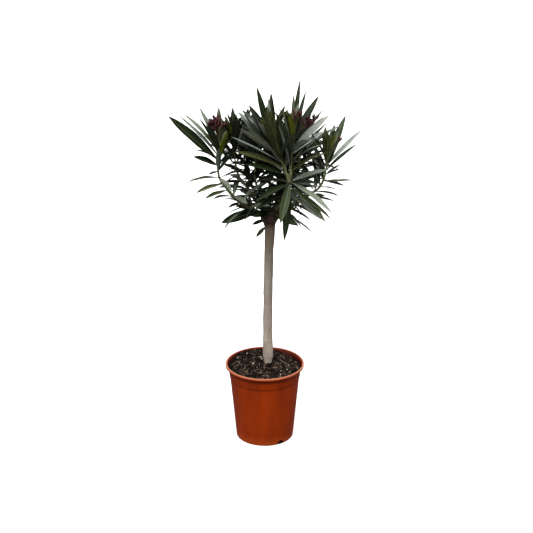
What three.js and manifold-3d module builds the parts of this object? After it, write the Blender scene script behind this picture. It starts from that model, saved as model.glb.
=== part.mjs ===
// A standard oleander in its nursery pot: one bare, slightly bowed trunk that forks in a swollen
// head, boughs that spread from the head, and a round crown of narrow leaves set in whorls of three.
//
// Millimetres, +Z up. The origin is the centre of the pot's flat underside, and -Y is the front.
// Azimuths are in degrees, counted from +X towards +Y. Each mass of leaves is one closed, uneven
// solid: a star about its heart, with a point for the tip of every leaf it stands for.

import * as THREE from 'three';
import { mergeVertices } from 'three/addons/utils/BufferGeometryUtils.js';
import Module from 'manifold-3d';

const wasm = await Module();
wasm.setup();

// ---------------------------------------------------------------------------- driving dimensions

const GAP = 0.3;                   // air left between pieces that touch

const POT = {
  height: 210,
  rimRadius: 105,                  // over the rolled lip
  neckRadius: 94,                  // wall, just under the rim
  footRadius: 77,                  // wall, just above the rounded bottom edge
  edgeRadius: 3,                   // rounding of the bottom edge
  edgeSteps: 3,
  wall: 2.6,
  floor: 3.2,
  lipHeight: 5,                    // upright outside of the lip, with its rounded top edge
  lipSlope: 2.5,                   // width and height of the slanted underside of the lip
  lipRound: 1.8,                   // width and height of the bevel along the lip's top
  lipWidth: 4.6,                   // from the outside of the lip to the inside of its level top
  lipInside: 6.8,                  // from the outside of the lip to the wall's inside below it
  lipDepth: 3,                     // from the top down to there
  rimDrop: 14,                     // from the top down to where the rim leaves the wall
  bandDrop: 34,                    // from the top down to the foot of the slightly raised band
  bandStep: 1.1,
  bandSlope: 2,                    // height over which the band steps out
  segments: 36,
};

const DRAIN_SLOT = { count: 3, width: 16, height: 9, depth: 24, azimuth: 303 };

const SOIL = {
  drop: 8,                         // mean depth of the surface below the rim
  bump: 1.2,                       // how far the long waves of the surface rise and fall
  wave: [17, 13],                  // length of those waves along X and along Y
  ripple: 9,                       // length of the slanting ripples between them
  rippleShare: 0.6,                // height of the ripples, as a share of the waves'
  footRadius: 34,                  // level patch that the trunk stands in
  settled: 1.5,                    // where the surface is quite uneven, in foot radii
  upper: 12,                       // depth of the body's top level below the surface
  lower: 30,                       // depth of its middle level
  ease: 0.4,                       // further clearance, for the facets of the wall
  rings: 5,
  segments: 24,
};

const TRUNK = {
  path: [[9, 20], [8, 18], [9, 14], [11, 12], [11, 12]],   // x, y at even steps of height
  forkHeight: 612,                 // centre of the head, above the floor
  footRadius: 9,                   // at the soil, where the trunk narrows
  footHeight: 26,                  // height over which it does so
  lowRadius: 12.2,                 // above the foot
  collar: 2.4,                     // how far the trunk thickens above the foot
  collarHeight: 30,
  collarReach: 15,
  highRadius: 11,                  // under the head
  headRadius: 15.5,                // the swollen head that the boughs leave from
  headHeight: 20,
  headFocus: 2.2,                  // how closely the swelling keeps to the head
  sides: 12,
  steps: 16,
};

// Boughs and the leafy shoots that they carry. azimuth, reach and rise place the shoot's tip from
// the head of the trunk. slope is the bough's climb where it starts, and lean is how far the shoot's
// tip tilts outwards. turn is the azimuth of the top whorl's first leaf about the shoot.
const SHOOTS = [
  { name: 'left_front', azimuth: 196, reach: 127, rise: 190, whorls: 13, leaf: 142, turn: 10, slope: 26, lean: -4,
    sweep: 0.47, nose: 22, low: true },
  { name: 'left_back', azimuth: 158, reach: 96, rise: 176, whorls: 12, leaf: 132, turn: 50, slope: 45, lean: 6, nose: 18 },
  { name: 'inner_left', azimuth: 140, reach: 45, rise: 160, whorls: 11, leaf: 118, turn: 10, slope: 60, lean: 5 },
  { name: 'front', azimuth: 299, reach: 103, rise: 118, whorls: 7, leaf: 140, turn: 34, slope: 38, lean: 10,
    spread: 118, nose: 102, ease: 4, droop: 0.25, node: true },
  { name: 'middle_front', from: 'front', azimuth: 277, reach: 90, rise: 203, whorls: 9, leaf: 162, turn: 6, slope: 80,
    lean: -34, ease: 5, tipLeaf: 0.9, heart: 0.35 },
  { name: 'right_front', from: 'front', azimuth: 300, reach: 114, rise: 232, whorls: 8, leaf: 140, turn: 52, slope: 75,
    lean: -4, spread: 76, tipLeaf: 0.8, heart: 0.8 },
  { name: 'right', azimuth: 354, reach: 146, rise: 160, whorls: 13, leaf: 130, turn: 15, slope: 28, lean: 4, sweep: 0.43,
    tipLeaf: 0.8, low: true },
  { name: 'right_back', azimuth: 36, reach: 100, rise: 186, whorls: 12, leaf: 138, turn: 50, slope: 48, lean: 2, nose: 14 },
  { name: 'back', azimuth: 88, reach: 100, rise: 178, whorls: 13, leaf: 140, turn: 30, slope: 40, lean: 8 },
  { name: 'back_left', azimuth: 124, reach: 120, rise: 160, whorls: 13, leaf: 134, turn: 0, slope: 34, lean: 10 },
  { name: 'back_right', azimuth: 60, reach: 132, rise: 165, whorls: 13, leaf: 138, turn: 20, slope: 34, lean: 10 },
  { name: 'low_right', azimuth: 12, reach: 66, rise: 34, whorls: 6, leaf: 86, turn: 10, slope: 20, lean: 55,
    spread: 98, nose: 45, ease: 4, twig: true },
  { name: 'low_left', azimuth: 200, reach: 45, rise: 30, whorls: 4, leaf: 82, turn: 40, slope: 20, lean: 45,
    spread: 98, nose: 50, ease: 4, twig: true },
];

const SHOOT_HABIT = { sweep: 0.38, spread: 84, nose: 12, ease: 6.6, droop: 0.16, tipLeaf: 0.62, heart: 0.6 };

// The whorls of a shoot, and the leaves in them.
const WHORL = {
  step: 4.5,                       // between the first two whorls
  stepGrowth: 0.95,                // the distance below the tip grows by this times the square
  turn: 60,                        // from one whorl to the next, in degrees
  turnPlay: 14,
  pull: 0.9,                       // how strongly the lower whorls turn upright
  pullFrom: 7,                     // the whorl from which they do so in full
  opening: 1.4,                    // how suddenly the leaves open below the tip
  openPlay: 16,
  growth: 0.13,                    // by which each whorl's leaves are longer than those above
  shrinkFrom: 4,
  shrink: 0.085,                   // by which they are shorter again further down
  least: 0.58,
  lengthPlay: 0.16,
  bend: 8,                         // of a leaf from foot to tip, in degrees, at least
  bendPlay: 10,
  droopFrom: 8,                    // the whorl from which leaves droop in full
  bendFrom: 0.3,                   // share of the leaf where its bend takes it past its first direction
  leafSteps: 9,
};

const BOUGH = {
  footRadius: 6.4,
  endRadius: 3.6,
  twigRadius: 2.6,
  sides: 8,
  step: 22,
  inLeaves: 8,                     // how far a bough's end reaches into its mass of leaves
  stub: 26,                        // shortest bough
};

const MASS = {
  topWhorls: 9,                    // whorls in the upper mass of a shoot
  columns: 9,                      // points in each ring: a leaf tip and two valleys, three times
  valley: 0.4,                     // radius in a valley, as a share of the leaf's
  valleyPlay: 0.4,                 // how far that share varies, as a share of itself
  tail: 8,                         // how far a mass reaches below its last whorl
  crest: 0.55,                     // height at the middle of the top, as a share of the top leaves'
  minRingStep: 7,                  // least angle between two rings, in degrees
  maxTilt: 165,                    // tilt of the last ring from the shoot's direction, at most
  block: 1200,                     // side of the blocks that part the masses, larger than the crown
};

const COLOURS = {
  pot: { color: 0x9c4a22, roughness: 0.5, metalness: 0 },
  soil: { color: 0x3a2e26, roughness: 1, metalness: 0 },
  bark: { color: 0x9a8e80, roughness: 0.9, metalness: 0 },
  bough: { color: 0x6a6248, roughness: 0.8, metalness: 0 },
  leaves: { color: 0x3f5a38, roughness: 0.6, metalness: 0 },
};

// ------------------------------------------------------------------------------------- helpers

const UP = new THREE.Vector3(0, 0, 1);
const radians = THREE.MathUtils.degToRad;
const degrees = THREE.MathUtils.radToDeg;
const lerp = THREE.MathUtils.lerp;

/** A steady pseudo-random value from 0 to 1 for a triple of numbers. */
function scatter(a, b, c = 0) {
  const v = Math.sin(12.9898 * a + 78.233 * b + 37.719 * c) * 43758.5453;
  return v - Math.floor(v);
}

/** A closed three.js geometry as a solid. */
function solidOf(geometry) {
  const bare = geometry.clone();
  bare.deleteAttribute('normal');
  bare.deleteAttribute('uv');
  const welded = mergeVertices(bare, 1e-4);
  return new wasm.Manifold(new wasm.Mesh({
    numProp: 3,
    vertProperties: new Float32Array(welded.attributes.position.array),
    triVerts: new Uint32Array(welded.index.array),
  }));
}

/** The largest separate piece of a solid, as a three.js geometry. */
function geometryOf(solid) {
  const pieces = solid.decompose().sort((a, b) => b.volume() - a.volume());
  const mesh = pieces[0].getMesh();
  const geometry = new THREE.BufferGeometry();
  geometry.setAttribute('position', new THREE.BufferAttribute(new Float32Array(mesh.vertProperties), 3));
  geometry.setIndex(new THREE.BufferAttribute(new Uint32Array(mesh.triVerts), 1));
  geometry.computeVertexNormals();
  return geometry;
}

/** A closed skin over rings of equal length, the first ring at the bottom, with a point at each end. */
function skinOf(rings, bottom, top) {
  const sides = rings[0].length;
  const points = [bottom, ...rings.flat(), top];
  const last = points.length - 1;
  const at = (ring, side) => 1 + ring * sides + (side % sides);
  const faces = [];
  for (let side = 0; side < sides; side++) {
    faces.push(0, at(0, side + 1), at(0, side));
    faces.push(last, at(rings.length - 1, side), at(rings.length - 1, side + 1));
    for (let ring = 0; ring + 1 < rings.length; ring++) {
      faces.push(at(ring, side), at(ring, side + 1), at(ring + 1, side + 1));
      faces.push(at(ring, side), at(ring + 1, side + 1), at(ring + 1, side));
    }
  }
  const geometry = new THREE.BufferGeometry();
  geometry.setAttribute('position', new THREE.Float32BufferAttribute(points.flatMap((p) => p.toArray()), 3));
  geometry.setIndex(faces);
  geometry.computeVertexNormals();
  return geometry;
}

/** Two unit vectors square to a direction and to each other, turning right-handed about it. */
function acrossOf(direction) {
  const first = new THREE.Vector3().crossVectors(direction, new THREE.Vector3(0, 1, 0.001)).normalize();
  const second = new THREE.Vector3().crossVectors(direction, first);
  return [first, second];
}

/** A round limb along a curve. radiusAt takes the share of the way along, from 0 to 1. */
function limbGeometry(curve, from, to, radiusAt, sides, steps) {
  const rings = [];
  let first = new THREE.Vector3(1, 0, 0);
  for (let i = 0; i <= steps; i++) {
    const u = lerp(from, to, i / steps);
    const centre = curve.getPointAt(u);
    const along = curve.getTangentAt(u);
    first = first.clone().addScaledVector(along, -first.dot(along)).normalize();
    const second = new THREE.Vector3().crossVectors(along, first);
    const ring = [];
    for (let side = 0; side < sides; side++) {
      const turn = (2 * Math.PI * side) / sides;
      const radius = radiusAt(i / steps);
      ring.push(centre.clone()
        .addScaledVector(first, radius * Math.cos(turn))
        .addScaledVector(second, radius * Math.sin(turn)));
    }
    rings.push(ring);
  }
  return skinOf(rings, curve.getPointAt(from), curve.getPointAt(to));
}

// ------------------------------------------------------------------------------------------ pot

/** Radius of the outside of the pot's plain wall at a height. */
function wallRadius(z) {
  const share = (z - POT.edgeRadius) / (POT.height - POT.rimDrop - POT.edgeRadius);
  return lerp(POT.footRadius, POT.neckRadius, share);
}

/** The pot: a thin tapered shell with a rolled rim, a raised band and slots round its bottom edge. */
function potGeometry() {
  const { height, rimRadius, edgeRadius, edgeSteps, wall, floor, bandStep } = POT;
  const { lipHeight, lipSlope, lipRound, lipWidth, lipInside, lipDepth } = POT;
  const outline = [new THREE.Vector2(0, 0)];
  const edgeCentre = POT.footRadius - edgeRadius;
  for (let i = 0; i <= edgeSteps; i++) {
    const turn = (Math.PI / 2) * (i / edgeSteps);
    outline.push(new THREE.Vector2(edgeCentre + edgeRadius * Math.sin(turn), edgeRadius * (1 - Math.cos(turn))));
  }
  const bandFoot = height - POT.bandDrop;
  const rimFoot = height - POT.rimDrop;
  outline.push(
    new THREE.Vector2(wallRadius(bandFoot), bandFoot),
    new THREE.Vector2(wallRadius(bandFoot) + bandStep, bandFoot + POT.bandSlope),
    new THREE.Vector2(wallRadius(rimFoot) + bandStep, rimFoot),
    new THREE.Vector2(rimRadius - lipSlope, height - lipHeight - lipSlope),
    new THREE.Vector2(rimRadius, height - lipHeight),
    new THREE.Vector2(rimRadius, height - lipRound),
    new THREE.Vector2(rimRadius - lipRound, height),
    new THREE.Vector2(rimRadius - lipWidth, height),
    new THREE.Vector2(rimRadius - lipInside, height - lipDepth),
    new THREE.Vector2(wallRadius(rimFoot) + bandStep - wall, rimFoot),
    new THREE.Vector2(wallRadius(bandFoot) - wall, bandFoot),
    new THREE.Vector2(POT.footRadius - wall, floor + edgeRadius / 2),
    new THREE.Vector2(edgeCentre, floor),
    new THREE.Vector2(0, floor),
  );
  const lathe = new THREE.LatheGeometry(outline, POT.segments);
  lathe.rotateX(Math.PI / 2);
  let pot = solidOf(lathe);
  for (let i = 0; i < DRAIN_SLOT.count; i++) {
    const slot = new THREE.BoxGeometry(DRAIN_SLOT.depth, DRAIN_SLOT.width, 2 * DRAIN_SLOT.height);
    slot.translate(POT.footRadius, 0, 0);
    slot.rotateZ(radians(DRAIN_SLOT.azimuth + (360 / DRAIN_SLOT.count) * i));
    pot = pot.subtract(solidOf(slot));
  }
  return geometryOf(pot);
}

// ----------------------------------------------------------------------------------------- soil

const SOIL_HEIGHT = POT.height - SOIL.drop;

/** Height of the soil's uneven surface, level where the trunk stands. */
function soilHeight(x, y) {
  const fromTrunk = Math.hypot(x - TRUNK.path[0][0], y - TRUNK.path[0][1]);
  const waves = Math.sin(x / SOIL.wave[0]) * Math.cos(y / SOIL.wave[1]);
  const ripples = SOIL.rippleShare * Math.sin((x - y) / SOIL.ripple);
  const uneven = THREE.MathUtils.smoothstep(fromTrunk, SOIL.footRadius, SOIL.settled * SOIL.footRadius);
  return SOIL_HEIGHT + SOIL.bump * (waves + ripples) * uneven;
}

/** The soil that fills the pot, a hair clear of its wall and floor. */
function soilGeometry() {
  const inner = (z) => wallRadius(z) - POT.wall - GAP - SOIL.ease;
  const low = POT.floor + POT.edgeRadius;
  const middle = SOIL_HEIGHT - SOIL.lower;
  const high = SOIL_HEIGHT - SOIL.upper;
  const levels = [
    [POT.footRadius - POT.edgeRadius - GAP, POT.floor + GAP],
    [inner(low), low],
    [inner(middle), middle],
    [inner(high), high],
  ];
  const circle = (radius, heightAt) => Array.from({ length: SOIL.segments }, (_, side) => {
    const turn = (2 * Math.PI * side) / SOIL.segments;
    const x = radius * Math.cos(turn);
    const y = radius * Math.sin(turn);
    return new THREE.Vector3(x, y, heightAt(x, y));
  });
  const rings = levels.map(([radius, z]) => circle(radius, () => z));
  const brim = inner(high);
  for (let i = 0; i < SOIL.rings; i++) {
    rings.push(circle(brim * (1 - i / SOIL.rings), soilHeight));
  }
  return skinOf(rings, new THREE.Vector3(0, 0, POT.floor + GAP), new THREE.Vector3(0, 0, soilHeight(0, 0)));
}

// ---------------------------------------------------------------------------------------- trunk

const TRUNK_FOOT = SOIL_HEIGHT + GAP;
const HEAD = new THREE.Vector3(...TRUNK.path.at(-1), TRUNK.forkHeight);

const trunkCurve = new THREE.CatmullRomCurve3(TRUNK.path.map(([x, y], i) => (
  new THREE.Vector3(x, y, lerp(TRUNK_FOOT, TRUNK.forkHeight + TRUNK.headHeight / 2, i / (TRUNK.path.length - 1))))));

/** Radius of the trunk at a share of its height: narrow foot, thicker collar, slow taper, swollen head. */
function trunkRadius(share) {
  const above = share * (TRUNK.forkHeight + TRUNK.headHeight / 2 - TRUNK_FOOT);
  const plain = lerp(TRUNK.lowRadius, TRUNK.highRadius, share);
  const foot = (TRUNK.footRadius - TRUNK.lowRadius) * Math.max(0, 1 - above / TRUNK.footHeight) ** 2;
  const collar = TRUNK.collar * Math.exp(-(((above - TRUNK.collarHeight) / TRUNK.collarReach) ** 2));
  const fromHead = (TRUNK.forkHeight - TRUNK_FOOT - above) / TRUNK.headHeight;
  const swell = (TRUNK.headRadius - TRUNK.highRadius) * Math.exp(-TRUNK.headFocus * fromHead * fromHead);
  return plain + foot + collar + swell;
}

/** The trunk, made thicker by a margin where it has to be cut out of something else. */
function trunkGeometry(margin = 0) {
  const geometry = limbGeometry(trunkCurve, 0, 1, (u) => trunkRadius(u) + margin, TRUNK.sides, TRUNK.steps);
  return margin > 0 ? geometry.translate(0, 0, margin) : geometry;
}

// --------------------------------------------------------------------------- boughs and shoots

/** One bough with its leafy shoot: a stem curve, and the rule that sets leaves along it. */
class Shoot {
  constructor(sizes, index, start) {
    Object.assign(this, SHOOT_HABIT, sizes);
    this.index = index + 1;
    const outward = new THREE.Vector3(Math.cos(radians(this.azimuth)), Math.sin(radians(this.azimuth)), 0);
    const tip = HEAD.clone().addScaledVector(outward, this.reach).addScaledVector(UP, this.rise);
    const heading = tip.clone().sub(start).setZ(0).normalize();
    const span = start.distanceTo(tip) * this.sweep;
    const climb = (angle) => heading.clone().multiplyScalar(Math.cos(angle)).addScaledVector(UP, Math.sin(angle));
    this.curve = new THREE.CubicBezierCurve3(
      start,
      start.clone().addScaledVector(climb(radians(this.slope)), span),
      tip.clone().addScaledVector(climb(radians(90 - this.lean)), -span),
      tip,
    );
    this.length = this.curve.getLength();
  }

  /** Distance of a whorl below the shoot's tip. */
  depthOf(whorl) {
    return WHORL.step * whorl + WHORL.stepGrowth * whorl * whorl;
  }

  /** The stem's point, and its direction pulled upwards, at a whorl. */
  seat(whorl) {
    const u = THREE.MathUtils.clamp(1 - this.depthOf(whorl) / this.length, 0.02, 1);
    const pull = WHORL.pull * Math.min(1, whorl / WHORL.pullFrom);
    return { point: this.curve.getPointAt(u), along: this.curve.getTangentAt(u).addScaledVector(UP, pull).normalize() };
  }

  /** Tips of the three leaves of a whorl. */
  leafTips(whorl) {
    const { point, along } = this.seat(whorl);
    const [first, second] = acrossOf(along);
    const opened = 1 - Math.exp(-((whorl / this.ease) ** WHORL.opening));
    const open = this.nose + (this.spread - this.nose) * opened;
    const young = Math.min(1, this.tipLeaf + WHORL.growth * whorl);
    const old = Math.max(WHORL.least, 1 - WHORL.shrink * Math.max(0, whorl - WHORL.shrinkFrom));
    const droop = this.droop * Math.min(1, whorl / WHORL.droopFrom);
    return [0, 1, 2].map((leaf) => {
      const play = (range, share) => range * (scatter(this.index + share, whorl, leaf) - 0.5);
      const turn = radians(this.turn + WHORL.turn * whorl + 120 * leaf + play(WHORL.turnPlay, 0));
      const out = first.clone().multiplyScalar(Math.cos(turn)).addScaledVector(second, Math.sin(turn));
      const angle = radians(open + play(WHORL.openPlay, 0.3));
      const length = this.leaf * young * old * (1 + play(WHORL.lengthPlay, 0.7));
      const bend = radians(WHORL.bend + WHORL.bendPlay / 2 + play(WHORL.bendPlay, 0.1));
      return leafTip(point, along, out, angle, length, bend, droop);
    });
  }

  get boughLength() {
    if (this.node || this.twig) return this.length;
    return Math.max(BOUGH.stub, this.length - this.depthOf(MASS.topWhorls - 1) + BOUGH.inLeaves - MASS.tail);
  }

  /** The bough, thicker and longer by a margin where it has to be cut out of something else. */
  boughGeometry(margin = 0) {
    const foot = this.twig ? BOUGH.twigRadius : BOUGH.footRadius;
    const end = this.twig ? BOUGH.twigRadius : BOUGH.endRadius;
    const to = Math.min(1, (this.boughLength + margin) / this.length);
    const steps = Math.max(3, Math.round(this.boughLength / BOUGH.step));
    return limbGeometry(this.curve, 0, to, (u) => lerp(foot, end, u) + margin, BOUGH.sides, steps);
  }
}

/** Where a leaf of this length ends, bending outwards and drooping as it goes. */
function leafTip(foot, along, out, angle, length, bend, droop) {
  const steps = WHORL.leafSteps;
  const tip = foot.clone();
  for (let i = 0; i < steps; i++) {
    const share = (i + 0.5) / steps;
    const turned = angle + bend * (share - WHORL.bendFrom);
    const heading = along.clone().multiplyScalar(Math.cos(turned))
      .addScaledVector(out, Math.sin(turned))
      .addScaledVector(UP, -droop * share);
    tip.addScaledVector(heading.normalize(), length / steps);
  }
  return tip;
}

const shoots = new Map();
SHOOTS.forEach((sizes, index) => {
  const start = sizes.from ? shoots.get(sizes.from).curve.getPointAt(1) : HEAD;
  shoots.set(sizes.name, new Shoot(sizes, index, start));
});

// ------------------------------------------------------------------------------- leaf masses

/** A mass of leaves: the whorls of a shoot from first to last, as a star about a heart on its stem. */
class LeafMass {
  constructor(name, shoot, first, last) {
    this.name = name;
    this.whorls = Array.from({ length: last - first + 1 }, (_, i) => first + i);
    this.shoot = shoot;
    const heart = shoot.seat(lerp(first, last, shoot.heart));
    this.heart = heart.point;
    this.axis = heart.along;
    this.size = shoot.leaf;
  }

  /** Tilt of each ring from the axis, in degrees: the mean of its leaf tips', kept apart and in order. */
  ringTilts(rays) {
    const tilts = rays.map((tips) => (
      tips.reduce((sum, ray) => sum + degrees(ray.angleTo(this.axis)), 0) / tips.length));
    tilts.sort((a, b) => a - b);
    tilts.forEach((tilt, i) => {
      tilts[i] = Math.max(tilt, (tilts[i - 1] ?? 0) + MASS.minRingStep);
    });
    const squeeze = Math.min(1, MASS.maxTilt / tilts.at(-1));
    return tilts.map((tilt) => tilt * squeeze);
  }

  geometry() {
    const { shoot, heart, axis } = this;
    const [first, second] = acrossOf(axis);
    const rays = this.whorls.map((whorl) => shoot.leafTips(whorl).map((tip) => tip.sub(heart)));
    const tilts = this.ringTilts(rays);
    const column = 360 / MASS.columns;
    // Each ring is turned by half a column against the next, which brings a column to every leaf.
    const rings = this.whorls.map((whorl, i) => (
      Array.from({ length: MASS.columns }, (_, side) => {
        const turn = radians(shoot.turn + column * (side + whorl / 2));
        const aside = (side - whorl + 3 * MASS.columns) % MASS.columns;
        const leaf = Math.round(aside / 3) % 3;
        const unevenness = 1 + MASS.valleyPlay * (scatter(shoot.index, whorl, side) - 0.5);
        const radius = rays[i][leaf].length() * (aside % 3 === 0 ? 1 : MASS.valley * unevenness);
        return heart.clone()
          .addScaledVector(axis, radius * Math.cos(radians(tilts[i])))
          .addScaledVector(first, radius * Math.sin(radians(tilts[i])) * Math.cos(turn))
          .addScaledVector(second, radius * Math.sin(radians(tilts[i])) * Math.sin(turn));
      })));
    const top = heart.clone().addScaledVector(axis, MASS.crest * rays[0][0].length());
    const fall = shoot.depthOf(this.whorls.at(-1)) - shoot.depthOf(lerp(this.whorls[0], this.whorls.at(-1), shoot.heart));
    const bottom = heart.clone().addScaledVector(axis, -fall - MASS.tail);
    return skinOf(rings.reverse(), bottom, top);
  }

  /** A block that holds all the space nearer to this mass's heart than to another's, less half a gap. */
  sideTowards(other) {
    const across = other.heart.clone().sub(this.heart);
    const share = this.size / (this.size + other.size);
    const block = new THREE.BoxGeometry(MASS.block, MASS.block, MASS.block);
    block.translate(0, 0, -(MASS.block + GAP) / 2);
    const placed = this.heart.clone().addScaledVector(across, share);
    const turned = new THREE.Quaternion().setFromUnitVectors(UP, across.clone().normalize());
    block.applyQuaternion(turned);
    return block.translate(placed.x, placed.y, placed.z);
  }
}

/** Every shoot's upper mass, and a lower one where the whorls further down stand out of the crown. */
function leafMasses() {
  return [...shoots.values()].flatMap((shoot) => {
    const top = new LeafMass(`leaves_${shoot.name}`, shoot, 0, Math.min(MASS.topWhorls, shoot.whorls) - 1);
    if (!shoot.low) return [top];
    return [top, new LeafMass(`leaves_${shoot.name}_low`, shoot, MASS.topWhorls, shoot.whorls - 1)];
  });
}

// ------------------------------------------------------------------------------------- assembly

const oleander = new THREE.Group();
oleander.name = 'potted_oleander';

function place(name, geometry, finish) {
  const mesh = new THREE.Mesh(geometry, new THREE.MeshStandardMaterial(finish));
  mesh.name = name;
  oleander.add(mesh);
}

place('pot', potGeometry(), COLOURS.pot);
place('soil', soilGeometry(), COLOURS.soil);
place('trunk', trunkGeometry(), COLOURS.bark);

// Each bough starts at the head's surface, and gives way to the boughs made before it.
const woodCutters = [solidOf(trunkGeometry(GAP))];
for (const shoot of shoots.values()) {
  const bough = woodCutters.reduce((solid, cutter) => solid.subtract(cutter), solidOf(shoot.boughGeometry()));
  place(`${shoot.twig ? 'twig' : 'bough'}_${shoot.name}`, geometryOf(bough), COLOURS.bough);
  woodCutters.push(solidOf(shoot.boughGeometry(GAP)));
}

// Each mass keeps to its own share of the crown, and is cut round the wood that passes through it.
const masses = leafMasses();
for (const mass of masses) {
  let solid = solidOf(mass.geometry());
  for (const other of masses) {
    if (other !== mass) solid = solid.intersect(solidOf(mass.sideTowards(other)));
  }
  for (const cutter of woodCutters) solid = solid.subtract(cutter);
  place(mass.name, geometryOf(solid), COLOURS.leaves);
}

export default oleander;
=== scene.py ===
"""A standard oleander in a terracotta-coloured nursery pot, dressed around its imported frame.

The pot, the compost, the trunk and the boughs take their places from the frame's nodes. Each bough
carries a leafy shoot that grows on from its end: whorls of three leaves, every whorl turned by 60
degrees against the next, upright at the tip and spreading further down, with clusters of rosy buds
on the shoots that are about to flower. All lengths are in metres. Angles are in degrees, apart from
those that a docstring gives in radians.
"""

import logging
import math
import random
from collections.abc import Callable, Iterable, Sequence
from dataclasses import dataclass, field
from enum import Enum
from typing import ClassVar

import bpy
import numpy as np
from mathutils import Matrix, Vector, noise

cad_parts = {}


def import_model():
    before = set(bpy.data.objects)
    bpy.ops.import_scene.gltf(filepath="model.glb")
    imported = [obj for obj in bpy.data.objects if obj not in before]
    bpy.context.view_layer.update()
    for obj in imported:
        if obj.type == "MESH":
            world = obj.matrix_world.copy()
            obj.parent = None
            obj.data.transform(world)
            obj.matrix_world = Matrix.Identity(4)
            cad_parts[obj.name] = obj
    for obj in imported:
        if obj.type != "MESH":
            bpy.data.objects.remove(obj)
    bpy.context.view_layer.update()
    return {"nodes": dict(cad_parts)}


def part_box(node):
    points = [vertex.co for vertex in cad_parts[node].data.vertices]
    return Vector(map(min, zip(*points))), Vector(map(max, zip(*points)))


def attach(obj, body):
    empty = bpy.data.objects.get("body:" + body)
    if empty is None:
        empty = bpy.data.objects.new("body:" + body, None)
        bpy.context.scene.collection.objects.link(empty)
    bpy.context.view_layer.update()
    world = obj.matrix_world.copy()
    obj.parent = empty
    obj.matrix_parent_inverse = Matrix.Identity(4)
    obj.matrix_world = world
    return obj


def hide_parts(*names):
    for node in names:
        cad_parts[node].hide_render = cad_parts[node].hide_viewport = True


LOG = logging.getLogger("oleander")
UP = np.array([0.0, 0.0, 1.0])
GOLDEN_TURN = 2.39996
ROOT = "root"
NODES: dict[str, bpy.types.Object] = {}

Colour = tuple[float, float, float]
Point = tuple[float, float, float]
Swell = Callable[[float, float, np.ndarray], float]


class Slot(Enum):
    """The record's material slots."""

    POT = "pot_plastic"
    COMPOST = "compost"
    BARK = "bark"
    GREEN_WOOD = "green_wood"
    LEAF = "leaf"
    BUDS = "flower_buds"


class Bloom(Enum):
    """How far a shoot's flower head has come: the number of buds it shows."""

    LAST = 2
    SPRIG = 10
    HALF = 60
    FULL = 180


class Side(Enum):
    """The part of the crown that a shoot belongs to, which names the piece that holds its leaves."""

    LEFT = "foliage_left"
    FRONT = "foliage_front"
    RIGHT = "foliage_right"
    BACK = "foliage_back"


# ------------------------------------------------------------------------------- shader maths


class Flow:
    """A value on its way through a shader, with the arithmetic that the finishes use."""

    def __init__(self, graph: "Graph", socket: bpy.types.NodeSocket) -> None:
        """Keeps the graph and the socket that the value comes out of."""
        self.graph = graph
        self.socket = socket

    def __add__(self, other: "Flow | float") -> "Flow":
        """This value plus another."""
        return self.graph.maths("ADD", self, other)

    def __sub__(self, other: "Flow | float") -> "Flow":
        """This value less another."""
        return self.graph.maths("SUBTRACT", self, other)

    def __mul__(self, other: "Flow | float") -> "Flow":
        """This value times another."""
        return self.graph.maths("MULTIPLY", self, other)

    def __rsub__(self, other: float) -> "Flow":
        """A plain number less this value."""
        return self.graph.maths("SUBTRACT", other, self)

    __radd__ = __add__
    __rmul__ = __mul__


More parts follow.
